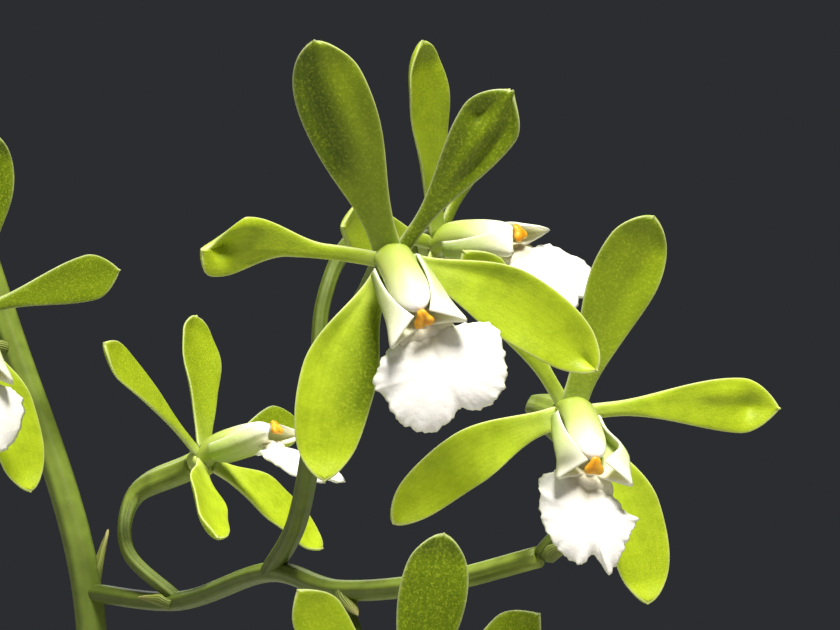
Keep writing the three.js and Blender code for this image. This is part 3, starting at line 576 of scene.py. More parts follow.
# ---- the flower ----
def sepal(az, length, own=None, **more):
    """A sepal: widest past its middle, blunt, with a tiny point at its tip."""
    return {"az": az, "length": length, **more, **(own or {})}


def petal(az, length, own=None, **more):
    """A petal: a narrow claw and a spoon that ends in a square corner."""
    shape = dict(
        claw=1.0, wide=3.7, claw_end=0.15, wide_at=0.8, blunt=2.0, point=0.85, cup=20, cup_tip=36,
        hook=22, hook_at=0.8, nub=0.22, wave=0.06, waves=1.6,
    )
    return {"az": az, "length": length, **shape, **more, **(own or {})}


def tepals(own):
    """The five tepals of a flower, each with what is its own there, and how much painted shade darkens it: most on
    the upper ones, which face away from the light.
    """
    return [
        (sepal(0, 13.8, own.get("dorsal"), claw=1.9, wide=4.8, wide_at=0.68), 0.95),
        (petal(63, 12.8, own.get("petal_right"), sweep=-6), 0.75),
        (petal(-63, 12.8, own.get("petal_left"), sweep=6), 0.3),
        (sepal(121, 14, own.get("lateral_right"), sweep=-36, wide_at=0.52), 0.0),
        (sepal(-121, 14, own.get("lateral_left"), sweep=36, wide_at=0.52), 0.0),
    ]


# The lip's trough, right half: rows from its foot to its mouth, and in each row four points from the
# middle of the floor, round the flank, to the margin that leans on the column. The last row is the
# mouth's edge, and its third point is the side lobe's tip.
TROUGH = np.array([
    [[0, -0.9, 0.1], [0.85, -0.85, 0.1], [1.5, -0.35, 0.35], [1.42, 0.1, 0.9]],
    [[0, -1.9, 1.2], [0.95, -1.85, 1.15], [1.7, -1.4, 1.4], [1.4, -0.8, 2.0]],
    [[0, -2.9, 2.4], [1.0, -2.85, 2.3], [1.85, -2.45, 2.65], [1.3, -1.65, 3.2]],
    [[0, -3.7, 3.4], [1.1, -3.65, 3.3], [2.0, -3.5, 3.9], [1.02, -2.5, 4.35]],
    [[0, -4.3, 4.1], [1.3, -4.5, 4.3], [2.45, -4.8, 5.25], [0.48, -3.42, 5.2]],
])
MIDLOBE = dict(y=-7.1, z=4.35, thick=0.42)
# Midlobe outlines, clockwise from the throat, in mm from the midlobe's middle: right, up
BROAD_LOBE = [
    (0.4, 2.5), (1.5, 2.3), (2.7, 2.1), (3.6, 1.8), (4.3, 1.15), (4.1, -0.5), (3.65, -1.95), (2.85, -2.75),
    (1.85, -3.15), (0.95, -3.0), (0.3, -2.62), (-0.3, -3.05), (-1.8, -3.45), (-2.9, -2.8), (-3.6, -1.85),
    (-3.85, -0.2), (-4.25, 0.45), (-3.4, 1.6), (-2.5, 2.25), (-1.5, 2.45), (-0.6, 2.4),
]
JAGGED_LOBE = [
    (0, 2.5), (1.17, 1.9), (2.08, 1.43), (2.86, 0.78), (3.66, 0.42), (3.2, -0.3), (2.73, -1.3), (2.25, -2.47),
    (1.69, -3.38), (1.15, -2.8), (0.45, -2.2), (0, -2.75), (-0.6, -2.85), (-1.95, -1.95), (-2.86, -0.5),
    (-3.2, 1.1), (-3.1, 2.3), (-2.1, 3.0), (-0.9, 2.7),
]
COLUMN_PATH = [[0, 0.55, -1.1], [0, 0.2, 0.6], [0, -1.55, 2.8], [0, -3.2, 4.75]]
COLUMN_RADII = [[1.1], [1.2], [1.12], [0.64]]


def trough(rows, cols, flare=0.0):
    """The lip's trough: splines across the mirrored rows, then splines along, thin at its margins.

    A flare moves the right flank out by a bell of the length.
    """
    v = np.linspace(0, 1, rows + 1)[:, None]
    s = crowded(cols)
    mirrored = np.concatenate([(TROUGH * [-1, 1, 1])[:, :0:-1], TROUGH], axis=1)
    across = np.stack([spline(row, (s[0] + 1) / 2) for row in mirrored])
    points = np.stack([spline(across[:, j], v[:, 0]) for j in range(cols + 1)], axis=1)
    points[..., 2] += 0.07 * smooth((v - 0.5) / 0.5) * s**4 * np.sin(11 * v + 5 * s)
    points[..., 0] += flare * bell(v - 0.62, 0.25) * smooth((s - 0.2) / 0.6)
    body = rounded(s, 8) * rounded(v, 16)
    edge = np.exp(-np.minimum(1.6 * (1 - np.abs(s)), 4 * (1 - v)) / 0.08)
    place = spread(s, 0.5 * v, edge)
    made = sheet(points, 0.4 * body, place)
    # Painted shade: the middle of the trough's floor under the column and anther is tinted grey-beige
    shade = bell(made["place"][:, 0], 0.4) * smooth((made["place"][:, 1] - 0.3) / 0.2)
    return {**made, "tone_and_painted_shade": 0.8 * shade}


def neck(rows, cols):
    """The throat between trough and midlobe: a floor that widens forward, with two low keels on it."""
    v, s = np.linspace(0, 1, rows + 1)[:, None], np.linspace(-1, 1, cols + 1)[None]
    path = spline([[0, -3.3, 3.2], [0, -4.0, 3.65], [0, -4.7, 3.88], [0, -5.7, 3.55]], v[:, 0])
    points = np.broadcast_to(path[:, None], (rows + 1, cols + 1, 3)).copy()
    points[..., 0] += s * (1.1 + 0.8 * smooth((v - 0.15) / 0.7))
    keel = bell(np.abs(s) - 0.26, 0.11) * np.sin(np.pi * np.clip(v, 0, 1)) ** 0.7
    points[..., 2] += 0.2 * keel - (0.12 + 0.3 * v) * s**2
    body = rounded(s, 8) * np.ones_like(v)
    place = spread(s, 0.5 + 0.2 * v, 0.0)
    made = sheet(points, 0.36 * body, place)
    # Painted shadow: the neck is tinted grey-beige where the side lobes and anther shade it, less towards the midlobe
    return {**made, "tone_and_painted_shade": 0.75 - 0.3 * smooth((made["place"][:, 1] - 0.5) / 0.2)}


def midlobe(rows, cols, outline, seed):
    """The lip's midlobe: a closed spline through its outline, filled by scaling it to the middle.

    The rim is crenulate. The face is a low dome whose edge bends back and ripples with waves that grow
    with the distance r from the middle.
    """
    m = MIDLOBE
    r = np.linspace(0.02, 1, rows + 1)[:, None]
    u = np.linspace(0, 1, cols, endpoint=False)
    closed = np.array([outline[-1], *outline, outline[0], outline[1]])
    rim = spline(closed, (1 + u * len(outline)) / (len(closed) - 1))
    a = np.arctan2(rim[:, 0], rim[:, 1])[None]
    fringe = 0.012 * np.sin(23 * a + seed) + 0.012 * np.sin(37 * a + 2.3 * seed) + 0.008 * np.sin(61 * a)
    reach = r * (1 + fringe * r**4)
    x, y = reach * rim[:, 0], reach * rim[:, 1]
    ripple = 0.09 * r**4 * np.sin(6 * a + seed) + 0.06 * r**7 * np.sin(13 * a + 1.7 * seed)
    ripple = ripple + 0.05 * r**12 * np.sin(27 * a)
    corner = 0.55 * r**5 * bell(a - 1.3, 0.22) + 0.6 * r**5 * bell(a + 0.85, 0.3)
    fold = 0.4 * r**4 * bell(a + 1.15, 0.12)
    free = 1 - bell(a, 0.6)
    tucked = 0.14 * (1 - free) * r**6
    z = m["z"] + 0.16 * (1 - r**2) - 0.4 * free * r**4 - tucked - 0.1 * y + free * ripple - corner + fold
    groove = 0.14 * bell(x, 0.3) * smooth(y / 2.5 + 0.45)
    front = np.stack([x, m["y"] + y, z - groove], -1)
    body = m["thick"] * rounded(r, 9) * np.ones_like(a)
    back = front - np.stack([0 * x, 0 * x, body], -1)
    made = rings(np.concatenate([front, back[-2::-1]]))
    radius = np.concatenate([r[:, 0], r[-2::-1, 0]])[:, None]
    place = spread(a / np.pi, 0.8, np.exp((radius - 1) * 34))
    # Painted shadow: a grey-beige patch on the midlobe's top middle, where the side lobes shade it
    shade = 0.6 * bell(made["v"][:, 0], 1.5) * bell(made["v"][:, 1] - m["y"] - 2.2, 1.0)
    return {**made, "place": np.concatenate([place.reshape(-1, 3), [[0, 0.8, 0]], [[0, 0.8, 0]]]), "tone_and_painted_shade": shade}


def column(rows, sides):
    """The column: rings on a spline, flatter than wide, winged near its tip and rounded at its ends."""
    x = np.linspace(0, 1, rows + 1)
    centre = spline(COLUMN_PATH, x)
    radius = spline(COLUMN_RADII, x)[:, 0] * np.sqrt(np.clip(1 - (np.clip(x - 0.86, 0, 1) / 0.145) ** 2, 0.01, 1))
    a = circle(sides)[None]
    wing = 1 + 0.22 * smooth((x[:, None] - 0.45) / 0.4) * np.abs(np.cos(a)) ** 6
    ridge = 1 + 0.08 * bell(np.angle(np.exp(1j * (a - np.pi / 2))), 0.35)
    wide = radius[:, None] * wing * np.cos(a)
    deep = radius[:, None] * 0.78 * ridge * np.sin(a)
    up = unit(np.array([0, 0.72, 0.69]))
    return rings(centre[:, None] + wide[..., None] * np.array([1.0, 0, 0]) + deep[..., None] * up)


ANTHER_CAP = dict(at=(0, -3.8, 5.0), radius=0.6, lobed=0.24, height=0.3, cleft=0.1, tilt=24)


def anther(rows, sides):
    """The anther cap: rings of radius times (1 + lobed cos 3a), cleft down its middle and tilted."""
    cap = ANTHER_CAP
    b = np.linspace(0.04, np.pi - 0.04, rows + 1)[:, None]
    a = circle(sides)[None]
    reach = cap["radius"] * np.sin(b) ** 0.8 * (1 + cap["lobed"] * np.cos(3 * (a - np.pi / 2)))
    x = reach * np.cos(a)
    cleft = cap["cleft"] * bell(x, 0.1) * (b < np.pi / 2)
    shape = rings(spread(x, reach * np.sin(a), cap["height"] * np.cos(b) - cleft)[:, ::-1])
    return moved(shape, turned("x", cap["tilt"]), cap["at"])


def hub(sides):
    """The short cup that the tepals grow from: a lathe of a rounded profile."""
    profile = [[0.5, -2.0], [0.95, -1.9], [1.1, -1.5], [1.25, -1.1], [1.2, -0.85], [0.9, -0.75], [0.4, -0.7]]
    made = lathe(spline(profile, np.linspace(0, 1, 19)), sides)
    return {**made, "place": made["place"] * [1, 0.05, 0]}


FACE = np.array([[1, 0, 0], [0, 0, -1], [0, 1, 0]], float)


def flower_turn(flower):
    """A flower's frame in the row's: turned to the viewer's right, nodding up, rolled to the left."""
    get = lambda key: flower.get(key, 0)
    return turned("z", get("turn")) @ turned("x", -get("nod")) @ FACE @ turned("z", get("roll"))


# Each tepal's tone and shade here are painted shade: upper tepals facing down, the dorsal's left hollow, and the left
# lateral where the lip shades it
FLOWERS = [
    dict(
        at=(19.8, -50, 261.3), turn=6, roll=20, fine=True,
        tepals=dict(
            dorsal=dict(
                az=-1, wide=5.0, length=14.4, lift=20, curl=-12, hook=20, cup=22, cup_tip=36, roll=-20,
                tone_and_painted_shade=0.55, shade=(0.9, 0.3, 1.3), dents=[(0.6, -0.1, -0.4, 0.28, 0.4), (0.72, 0.62, 0.25, 0.2, 0.3)],
            ),
            petal_right=dict(
                az=54, length=12.5, wide=4.0, sweep=0, hook=8, cup=26, cup_tip=34, lift=17, point=1.1, tone_and_painted_shade=0.9,
                over=dict(point=0.68, wide=4.2),
                dents=[(0.81, 0.45, 0.4, 0.06, 0.3), (0.68, 0.0, -0.35, 0.2, 0.25), (0.72, -0.5, 0.35, 0.2, 0.3)],
            ),
            petal_left=dict(
                az=-59, length=11.8, sweep=17, hook=64, hook_at=0.86, cup=18, cup_tip=24, roll=-14, tone_and_painted_shade=0.05,
                under=dict(wide=4.3, wide_at=0.74, blunt=1.3, point=1.7, claw_end=0.3),
                over=dict(wide=3.5, wide_at=0.87, blunt=3.0, point=0.42, claw_end=0.5),
                dents=[(0.85, -0.15, 0.75, 0.06, 0.5), (0.74, -0.8, -0.45, 0.08, 0.35), (0.68, 0.75, 0.3, 0.12, 0.4)],
            ),
            lateral_right=dict(
                az=121, length=14.1, sweep=-37, dents=[(0.3, 0.5, 0.2, 0.2, 0.4), (0.93, 0.0, 0.3, 0.05, 0.3)],
            ),
            lateral_left=dict(
                az=-126, length=14, sweep=34, wide=5, shade=(0.9, 0.0, 0.85), dents=[(0.35, -0.5, 0.25, 0.2, 0.4)],
            ),
        ),
    ),
    dict(
        at=(31.4, -41, 251.5), turn=15, roll=-19, lip_swing=13, lip_lift=7, flare=0.8, outline=JAGGED_LOBE, fine=True,
        tepals=dict(
            dorsal=dict(az=-3, length=13.4, sweep=-10, lift=12, tone_and_painted_shade=0.5, dents=[(0.7, -0.4, 0.3, 0.2, 0.4)]),
            petal_right=dict(
                length=13.4, sweep=-14, tone_and_painted_shade=0.0, dents=[(0.84, 0.0, 0.4, 0.06, 0.5), (0.7, 0.4, -0.2, 0.12, 0.3)],
            ),
            petal_left=dict(az=-52, length=12.5),
            lateral_right=dict(az=122, length=12.9, sweep=-38, wide=4.4),
            lateral_left=dict(az=-122, length=13.8, wide=3.8, sweep=34),
        ),
    ),
    dict(
        at=(23.3, -24, 262.9), turn=55, nod=-2, roll=20, lip_lift=46,
        tepals=dict(
            dorsal=dict(length=14.2, tone_and_painted_shade=0.3),
            petal_right=dict(az=47, length=12.2),
            lateral_left=dict(az=-134, length=12.2, sweep=20),
        ),
    ),
    dict(
        at=(5.2, 8, 247), turn=60, nod=24, roll=-5, lip_lift=34,
        tepals=dict(
            dorsal=dict(az=14, length=11.8, tone_and_painted_shade=0.4),
            petal_right=dict(az=72),
            petal_left=dict(az=-50, length=13.4),
            lateral_right=dict(az=116, length=12.5, sweep=-24),
            lateral_left=dict(az=-128, length=11, sweep=24, lift=20),
        ),
    ),
    dict(at=(-13.7, 4, 257.8), turn=30, roll=-8, tepals=dict(lateral_right=dict(az=142, sweep=-20))),
    dict(
        at=(20.4, -33, 229.2), turn=5, nod=8, roll=-8,
        tepals=dict(dorsal=dict(az=3), petal_right=dict(az=36, length=12), petal_left=dict(az=-40, length=12)),
    ),
    dict(at=(-22, 6, 300), turn=-20, nod=-5, roll=8),
    dict(at=(-42, 24, 290), turn=-75, nod=5, roll=-6),
    dict(at=(-28, 36, 305), turn=165, roll=5),
]

for number, flower in enumerate(FLOWERS, 1):
    rows, cols = (84, 30) if flower.get("fine") else (48, 18)
    turn, at, node = flower_turn(flower), flower["at"], f"flower_{number}"
    lip_turn = turn @ turned("z", flower.get("lip_swing", 0)) @ turned("x", -flower.get("lip_lift", 0))
    blades = [blade(shape, rows, cols, tone_and_painted_shade) for shape, tone_and_painted_shade in tepals(flower.get("tepals", {}))]
    lobe = midlobe(rows // 3, 6 * cols, flower.get("outline", BROAD_LOBE), number)
    lip = joined([trough(rows // 2, cols + 6, flower.get("flare", 0)), neck(16, 24), lobe])
    piece(f"{node}_sepals_and_petals", moved(joined([hub(24), *blades]), turn, at), TEPAL, "tepal", f"{node}_tepals")
    piece(f"{node}_white_lip", moved(lip, lip_turn, at), LIP, "lip", f"{node}_lip")
    piece(f"{node}_column_body", moved(column(28, 28), lip_turn, at), COLUMN, "column", f"{node}_column")
    piece(f"{node}_anther_cap", moved(anther(12, 20), lip_turn, at), ANTHER, "column")

# ---- the flower stem ----
MAIN_AXIS = [
    (0.5, 7, 118), (-1.6, 8.8, 145), (-4.6, 11, 180), (-5, 12, 212), (-5, 12, 236), (-12, 15, 258),
    (-19.5, 17, 280), (-26, 18, 302), (-30, 18, 320),
]
BRANCHES = [
    [(-5, 12, 236), (2.8, 4.5, 235.9), (10.3, -8, 239), (15.7, -18, 238.4), (22.8, -25, 239.5), (29.5, -29, 241.5)],
    [(10.3, -8, 239), (12.5, -15, 243), (13.8, -20, 249), (14.2, -22, 253)],
    [(-19.5, 17, 280), (-26, 22, 284), (-33, 27, 287)],
]
# Each flower's pedicel: where it leaves the stem, and one point that it bends through
PEDICELS = [
    [(14.2, -22, 253), (16.6, -32, 257.5)],
    [(29.5, -29, 241.5), (33, -29.5, 246.5)],
    [(14.2, -22, 253), (14.6, -20.5, 259)],
    [(2.8, 4.5, 235.9), (-1.5, 8.5, 239.5)],
    [(-11.2, 14.7, 255.5), (-16.5, 13.5, 257.6)],
    [(15.7, -18, 238.4), (18.5, -21.5, 231)],
    [(-23.5, 17.6, 293.5), (-22, 16.5, 299)],
    [(-33, 27, 287), (-34.5, 25.5, 289.4)],
    [(-26, 18, 302), (-27.5, 24, 305.6)],
]
BUDS = [
    dict(foot=(-30, 18, 320), at=(-31.5, 17, 330), length=9, radius=2.3),
    dict(foot=(-29, 18, 315.5), at=(-36.5, 14, 321), length=9.5, radius=2.5),
    dict(foot=(-28, 18, 311), at=(-21.5, 19, 319), length=10, radius=2.6),
    dict(foot=(-29.6, 24.6, 285.6), at=(-33, 33, 279), length=10, radius=2.6),
]

# The bract under each flower's stalk, and those on the upright stem: share of its length, side, mm
STALK_BRACT = dict(out=(0.3, -0.5, -0.6), length=3.2)
STEM_BRACTS = [
    (0.14, (1, -0.4, 0), 8.5), (0.27, (-1, -0.3, 0), 8.5), (0.4, (0.8, -0.6, 0), 8.5), (0.5, (0.9, 0.4, 0), 5),
    (0.75, (-1, 0.3, 0), 5),
]


def pedicel(number):
    """A flower's stalk, swelling into a six-ribbed ovary behind the flower."""
    flower = FLOWERS[number]
    back = flower_turn(flower) @ np.array([0, 0, -1.0])
    at = np.array(flower["at"], float)
    path = [*PEDICELS[number], at + 8 * back, at + (HUB["height"] - HUB["top"] + 0.02) * back]
    swell = lambda x: STEM["pedicel"] + (STEM["ovary"] - STEM["pedicel"]) * smooth((x - 0.45) / 0.4)
    return tube(path, swell, 40, 18, ribs=0.09)


def scale_leaf(at, along, outward, length):
    """A small bract: a narrow blade that clasps the stem at a joint."""
    along, outward = unit(np.asarray(along, float)), np.asarray(outward, float)
    outward = unit(outward - along * np.dot(outward, along))
    basis = np.stack([np.cross(outward, along), outward, along], 1)
    shape = dict(
        az=0, length=length, lift=74, curl=-8, hook=0, claw=1.7, wide=2.0, wide_at=0.3, blunt=1.1, point=0.9,
        cup=75, cup_tip=30, root_radius=0.9, root_height=0, nub=0, thick=0.3,
    )
    return moved(blade(shape, 14, 10, 0.4), basis, at)


stalks = [tube(MAIN_AXIS, lambda x: STEM["foot"] + (STEM["top"] - STEM["foot"]) * x, 160, 20)]
stalks += [tube(path, lambda x: np.full_like(x, STEM["branch"]), 60, 16) for path in BRANCHES]
stalks += [pedicel(k) for k in range(len(PEDICELS))]
for bud in BUDS:
    foot, at = np.array(bud["foot"], float), np.array(bud["at"], float)
    stalks.append(tube([foot, (foot + at) / 2 - (0, 0, 0.6), at], lambda x: STEM["pedicel"] + 0.25 * x, 16, 12))
piece("flower_stalks", joined(stalks), STEM_SKIN, "stem", "flower_stem")

bracts = [
    scale_leaf(foot, np.array(bend) - foot, STALK_BRACT["out"], STALK_BRACT["length"]) for foot, bend in PEDICELS
]
for x, out, length in STEM_BRACTS:
    here = spline(MAIN_AXIS, np.array([x]))[0]
    ahead = spline(MAIN_AXIS, np.array([x + 0.01]))[0]
    bracts.append(scale_leaf(here, ahead - here, out, length))
piece("stem_bracts", joined(bracts), BRACT_SKIN, "stem")


def closed_bud(bud):
    """A bud: rings of radius sin(pi * t^0.85)^0.75 on its axis, with three seams."""
    foot, at = np.array(bud["foot"], float), np.array(bud["at"], float)
    axis = unit(at - foot)
    side = unit(np.cross(axis, [0.2, 1, 0.1]))
    other = np.cross(axis, side)
    t = 0.02 + 0.965 * np.linspace(0, 1, 37)[:, None]
    a = circle(36)[None]
    seam = 1 + 0.07 * np.abs(np.cos(1.5 * a)) ** 0.6 - 0.05
    r = bud["radius"] * np.sin(np.pi * t**0.85) ** 0.75 * seam
    centre = at + (0.02 + bud["length"] * t)[..., None] * axis
    return rings(centre + r[..., None] * (np.cos(a)[..., None] * side + np.sin(a)[..., None] * other))


for number, bud in enumerate(BUDS, 1):
    piece(f"closed_bud_{number}", closed_bud(bud), BUD_SKIN, "bud", f"bud_{number}")

# ---- pseudobulbs, leaves, rhizome and roots ----
BULBS = [
    dict(x=-31, y=-2, height=31, radius=7.6, lean=(-2, -1)),
    dict(x=-14.5, y=-8, height=37, radius=8.6, lean=(-2, -2)),
    dict(x=0.5, y=4, height=43, radius=9.2, lean=(0, 3)),
    dict(x=15.5, y=-8.5, height=42, radius=9, lean=(2, -2)),
    dict(x=31, y=1, height=36, radius=8, lean=(3, 1)),
    dict(x=4, y=25, height=34, radius=8.2, lean=(1, 3)),
]
BULB_PROFILE = [[0.35, 0], [0.78, 0.08], [1, 0.26], [0.93, 0.45], [0.68, 0.66], [0.43, 0.84], [0.33, 1]]


def bulb_point(bulb, x, a, proud=0.0):
    """Points on a pseudobulb at height share x and angle a: a pear with lengthwise wrinkles."""
    r, h = np.moveaxis(spline(BULB_PROFILE, x), -1, 0)
    phase = bulb["x"]
    wrinkle = 1 + 0.03 * np.cos(4 * a) + 0.016 * np.cos(11 * a + phase) * smooth((h - 0.05) / 0.3)
    reach = r * bulb["radius"] * wrinkle + proud
    return spread(
        bulb["x"] + bulb["lean"][0] * h + reach * np.cos(a),
        bulb["y"] + bulb["lean"][1] * h + reach * np.sin(a),
        BULB_FOOT + h * bulb["height"],
    )


def bulb_sheath(bulb, low, high, start, seed):
    """A dry sheath round a pseudobulb: its skin moved out, open down one side, torn along its top."""
    v, s = np.linspace(0, 1, 31)[:, None], crowded(60)
    a = start + 2.75 * s
    tear = 1 - 0.16 * np.abs(s) ** 2 + 0.05 * np.sin(17 * s + seed) + 0.035 * np.sin(41 * s + 2 * seed)
    x = low + (high - low) * v * tear
    points = bulb_point(bulb, x + 0 * a, a + 0 * x, 0.28 + 0.5 * v**3 + 0.1 * np.sin(7 * s + seed) * v)
    thin = 0.22 * rounded(s, 8) * rounded(v, 10)
    place = spread(s, v, 0.0)
    return sheet(points, thin, place)


def leaf_scar(bulb):
    """The dry collar on a pseudobulb's top that its leaves stand in: rings of the top's own radius."""
    top = BULB_PROFILE[-1][0] * bulb["radius"]
    profile = [
        [top - 0.6, -0.9], [top + 0.22, -0.5], [top + 0.3, 0.1], [top + 0.05, 0.7], [top - 0.9, 1.15], [0.3, 1.25],
    ]
    r, z = spline(profile, np.linspace(0, 1, 16)).T
    a = circle(40)[None]
    r = r[:, None] * (1 + 0.03 * np.sin(9 * a + bulb["x"]))
    x, y = bulb["x"] + bulb["lean"][0], bulb["y"] + bulb["lean"][1]
    return rings(spread(x + r * np.cos(a), y + r * np.sin(a), BULB_FOOT + bulb["height"] + z[:, None]))


around = circle(72)[None]
up_bulb = np.linspace(0, 1, 57)[:, None]
for number, bulb in enumerate(BULBS, 1):
    skin = rings(bulb_point(bulb, up_bulb + 0 * around, around + 0 * up_bulb))
    piece(f"pseudobulb_skin_{number}", skin, BULB_SKIN, "pseudobulb", f"pseudobulb_{number}")
    inner = bulb_sheath(bulb, 0.02, 0.42, 1.3 * number, number)
    outer = bulb_sheath(bulb, 0.01, 0.2, 2.4 * number + 2, number + 3)
    piece(f"dry_sheath_{number}", joined([inner, outer, leaf_scar(bulb)]), SHEATH, "pseudobulb")

LEAF_SEAT = 0.9  # a leaf's foot over its pseudobulb's top
LEAF = dict(
    claw=4.4, claw_end=0, wide_at=0.45, blunt=2.6, hook=-14, hook_at=0, cup=62, cup_tip=16, root_radius=2.5,
    root_height=0, nub=0, wave=0.035, waves=3.1, thick=0.95, groove=0.35,
)
LEAVES = [
    dict(bulb=0, az=262, length=104, lift=70, curl=-58, wide=10.5),
    dict(bulb=1, az=215, length=132, lift=74, curl=-72, wide=12),
    dict(bulb=1, az=58, length=96, lift=88, curl=-28, wide=10.5),
    dict(bulb=2, az=300, length=150, lift=80, curl=-74, wide=12.5),
    dict(bulb=2, az=55, length=140, lift=82, curl=-56, wide=12.5),
    dict(bulb=3, az=192, length=138, lift=74, curl=-70, wide=12.5),
    dict(bulb=3, az=72, length=134, lift=76, curl=-60, wide=12),
    dict(bulb=4, az=104, length=124, lift=66, curl=-64, wide=11.5),
    dict(bulb=5, az=12, length=128, lift=74, curl=-66, wide=11.5),
]
for number, leaf in enumerate(LEAVES, 1):
    bulb = BULBS[leaf["bulb"]]
    foot = (bulb["x"] + bulb["lean"][0], bulb["y"] + bulb["lean"][1], BULB_FOOT + bulb["height"] + LEAF_SEAT)
    shape = {**LEAF, **{key: value for key, value in leaf.items() if key != "bulb"}}
    piece(f"strap_leaf_{number}", moved(blade(shape, 110, 22), np.eye(3), foot), LEAF_SKIN, "leaf", f"leaf_{number}")

RHIZOMES = [
    [(-36, -1), (-14.5, -8), (0.5, 4), (15.5, -8.5), (36, 2)],
    [(0.5, 4), (1, 15), (4, 28)],
]
ROOTS = [
    [(-26, -7), (-28, -18), (-20, -30), (-8, -37), (4, -38)],
    [(5, -1), (4, -16), (14, -27), (26, -31), (35, -22)],
    [(22, -1), (27, 12), (24, 25), (15, 36), (4, 40)],
    [(-10, 1), (-17, 12), (-27, 19), (-36, 17), (-41, 8)],
    [(0, 16), (-8, 24), (-13, 34), (-20, 37)],
]
taper = lambda x: ROOT["radius"] * rounded(x, 14, 0.02)
knobbly = lambda x: RHIZOME["radius"] * (1 + 0.05 * np.sin(60 * x)) * rounded(2 * x - 1, 20, 0.05)
creeping = [tube([(x, y, RHIZOME["z"]) for x, y in path], knobbly, 90, 20) for path in RHIZOMES]
creeping += [tube([(x, y, ROOT["z"]) for x, y in path], taper, 70, 12) for path in ROOTS]
piece("rhizome_with_roots", joined(creeping), ROOT_SKIN, "rhizome", "rhizome_and_roots")


# ---- pot and bark ----
def pot_inner(z):
    """Inner radius of the pot's wall at a height."""
    outer = POT["foot"] + (POT["rim"] - POT["rim_step"] - POT["foot"]) * z / POT["height"]
    return outer - POT["wall"]


def plain_mesh(name, part):
    """A mesh part without places and tones, for the drill and the floor."""
    mesh = bpy.data.meshes.new(name)
    mesh.from_pydata((part["v"] * MM).tolist(), [], part["q"].tolist() + part["t"].tolist())
    return mesh


def pot_profile():
    """The pot's outline from the middle of its foot, up outside, over the rim and down inside."""
    step = POT["height"] - POT["rim_height"]
    outer = lambda z: pot_inner(z) + POT["wall"]
    h, rim = POT["height"], POT["rim"]
    return [
        (AXIS, 0), (12, 0), (POT["foot"] - 1, 0), (POT["foot"] - 0.25, 0.3), (POT["foot"], 1),
        (outer(step / 2), step / 2), (outer(step - 1), step - 1), (outer(step) + 0.6, step - 0.25),
        (rim - 1.5, step), (rim - 0.95, step + 0.3), (rim - 0.8, step + 1), (rim - 0.35, step + 9), (rim, h - 2),
        (rim - 0.3, h - 1), (rim - 1.2, h - 0.4), (rim - POT["rim_step"], h), (pot_inner(h) + 0.9, h - 0.3),
        (pot_inner(h) + 0.5, h - 1), (pot_inner(h - 4), h - 4), (pot_inner(40), 40),
        (pot_inner(POT["floor"] + 3), POT["floor"] + 3), (pot_inner(POT["floor"]) - 3, POT["floor"]),
        (12, POT["floor"]), (AXIS, POT["floor"]),
    ]


pot = piece("clay_pot", lathe(pot_profile(), 128), CLAY, "terracotta", "pot", smooth_faces=False)
cutters = []
for k in range(DRAIN["count"]):
    angle = (k + 0.5) * 2 * np.pi / DRAIN["count"]
    a = circle(32)
    ring = np.stack([DRAIN["radius"] * np.cos(a), DRAIN["radius"] * np.sin(a), 0 * a], -1)
    ring = ring + np.array([DRAIN["circle"] * np.cos(angle), DRAIN["circle"] * np.sin(angle), 0])
    cutters.append(rings(np.stack([ring + (0, 0, z) for z in DRAIN["drill"]])))
drill = bpy.data.objects.new("drill", plain_mesh("drill", joined(cutters)))
bpy.context.scene.collection.objects.link(drill)
holes = pot.modifiers.new("drain holes", "BOOLEAN")
holes.object = drill
holes.operation = "DIFFERENCE"
bpy.context.view_layer.update()
drilled = bpy.data.meshes.new_from_object(pot.evaluated_get(bpy.context.evaluated_depsgraph_get()))
pot.modifiers.clear()
pot.data = drilled
bpy.data.objects.remove(drill)
pot.data.shade_smooth()
pot.data.set_sharp_from_angle(angle=np.radians(50))


# Half sizes of a chip, its lean in degrees, its share of roughness and its height over the bed's level
CHIP = dict(long=(3.6, 7.0), wide=(2.4, 4.6), thick=(1.2, 2.2), lean=(-24, 24), rough=(0.84, 1.12), lie=(-0.8, 0.9))
CHIP_COUNT = 300
GOLDEN_ANGLE = 2.39996


def bark_chips():
    """Chips of bark on a flat bed: blunt boxes of 8 by 5 faces, spread on a sunflower spiral."""
    random = np.random.default_rng(11)
    top = BARK_TOP
    wall = [(pot_inner(5.5) - 4, 5.5), (pot_inner(9.5) - 1, 9.5), (pot_inner(top) - 1, top - 2.2)]
    parts = [lathe([(AXIS, 5.5), *wall, (AXIS, top - 2)], 64)]
    b = np.array([-1.0, -0.75, -0.25, 0.25, 0.75, 1.0])[:, None]
    a = circle(8)[None] + 0.4
    level = np.sqrt(np.clip(1 - b**2, 0.12, 1))
    blunt = lambda w: np.sign(w) * np.abs(w) ** 0.45
    for k in range(CHIP_COUNT):
        size = np.array([random.uniform(*CHIP[side]) for side in ("long", "wide", "thick")])
        box = np.stack([blunt(np.cos(a)) * level, blunt(np.sin(a)) * level, b + 0 * a], -1) * size
        box = box * random.uniform(*CHIP["rough"], box.shape)
        heading, nod, roll = random.uniform(0, 360), random.uniform(*CHIP["lean"]), random.uniform(*CHIP["lean"])
        spin = turned("z", heading) @ turned("x", nod) @ turned("y", roll)
        reach = (pot_inner(top) - 1.4 - 0.8 * size[0]) * np.sqrt((k + 0.5) / CHIP_COUNT)
        angle = GOLDEN_ANGLE * k + random.uniform(-0.3, 0.3)
        at = np.array([reach * np.cos(angle), reach * np.sin(angle), top - 1.1 + random.uniform(*CHIP["lie"])])
        made = moved(rings(box), spin, at)
        parts.append({**made, "tone_and_painted_shade": np.full(len(made["v"]), random.uniform(0, 1))})
    return joined(parts)


piece("bark_bed", bark_chips(), BARK, "bark", "bark", smooth_faces=False)

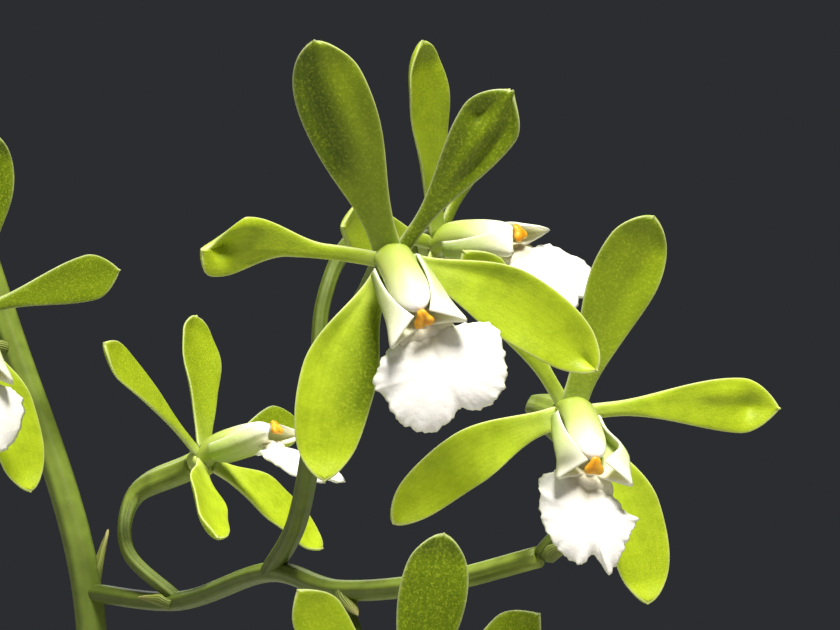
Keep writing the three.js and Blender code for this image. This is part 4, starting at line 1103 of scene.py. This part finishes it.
# ---- stage: floor, light and camera ----
FLOOR = dict(radius=2600, under=-3, top=-0.02)
rim_rows = [(FLOOR["radius"], FLOOR["under"]), (FLOOR["radius"], FLOOR["top"])]
floor_part = lathe([(AXIS, FLOOR["under"]), *rim_rows, (AXIS, FLOOR["top"])], 64)
floor_mesh = plain_mesh("studio_floor", floor_part)
floor_mesh.materials.append(floor_material())
floor = bpy.data.objects.new("studio_floor", floor_mesh)
bpy.context.scene.collection.objects.link(floor)


AIM = (0.01, -0.02, 0.22)


def softbox(name, at, side, power, colour):
    """A square lamp that faces the plant: its place and side in metres and its power in watts."""
    lamp = bpy.data.lights.new(name, "AREA")
    lamp.shape = "SQUARE"
    lamp.size = side
    lamp.energy = power
    lamp.color = linear(colour)[:3]
    thing = bpy.data.objects.new(name, lamp)
    back = unit(np.array(at, float) - np.array(AIM, float))
    right = unit(np.cross([0, 0, 1.0], back))
    matrix = np.eye(4)
    matrix[:3, 0], matrix[:3, 1], matrix[:3, 2], matrix[:3, 3] = right, np.cross(back, right), back, at
    thing.matrix_world = matrix.T.tolist()
    thing.visible_camera = False
    bpy.context.scene.collection.objects.link(thing)


softbox("key_softbox", (0.2, -0.62, 1.62), 0.4, 52, "#fffaf2")
softbox("fill_softbox", (-1.5, -1.3, 0.7), 1.2, 2.0, "#f4f8ff")
softbox("back_softbox", (-0.4, 1.6, 1.3), 1.2, 9, "#ffffff")

world = bpy.data.worlds.new("studio")
world.use_nodes = True
world.node_tree.nodes["Background"].inputs["Color"].default_value = linear("#2b2d30")
world.node_tree.nodes["Background"].inputs["Strength"].default_value = 1.0
bpy.context.scene.world = world

camera_data = bpy.data.cameras.new("photo_camera")
camera_data.lens = LENS
camera_data.sensor_width = 36
camera_data.clip_start = 0.01
camera_data.clip_end = 20
camera_data.dof.use_dof = False
camera = bpy.data.objects.new("photo_camera", camera_data)
camera.location = (VIEW_POINT - (0, VIEW_DISTANCE, 0)) * MM
camera.rotation_euler = (np.pi / 2, 0, 0)
bpy.context.scene.collection.objects.link(camera)
bpy.context.scene.camera = camera
bpy.context.scene.view_settings.view_transform = "Standard"
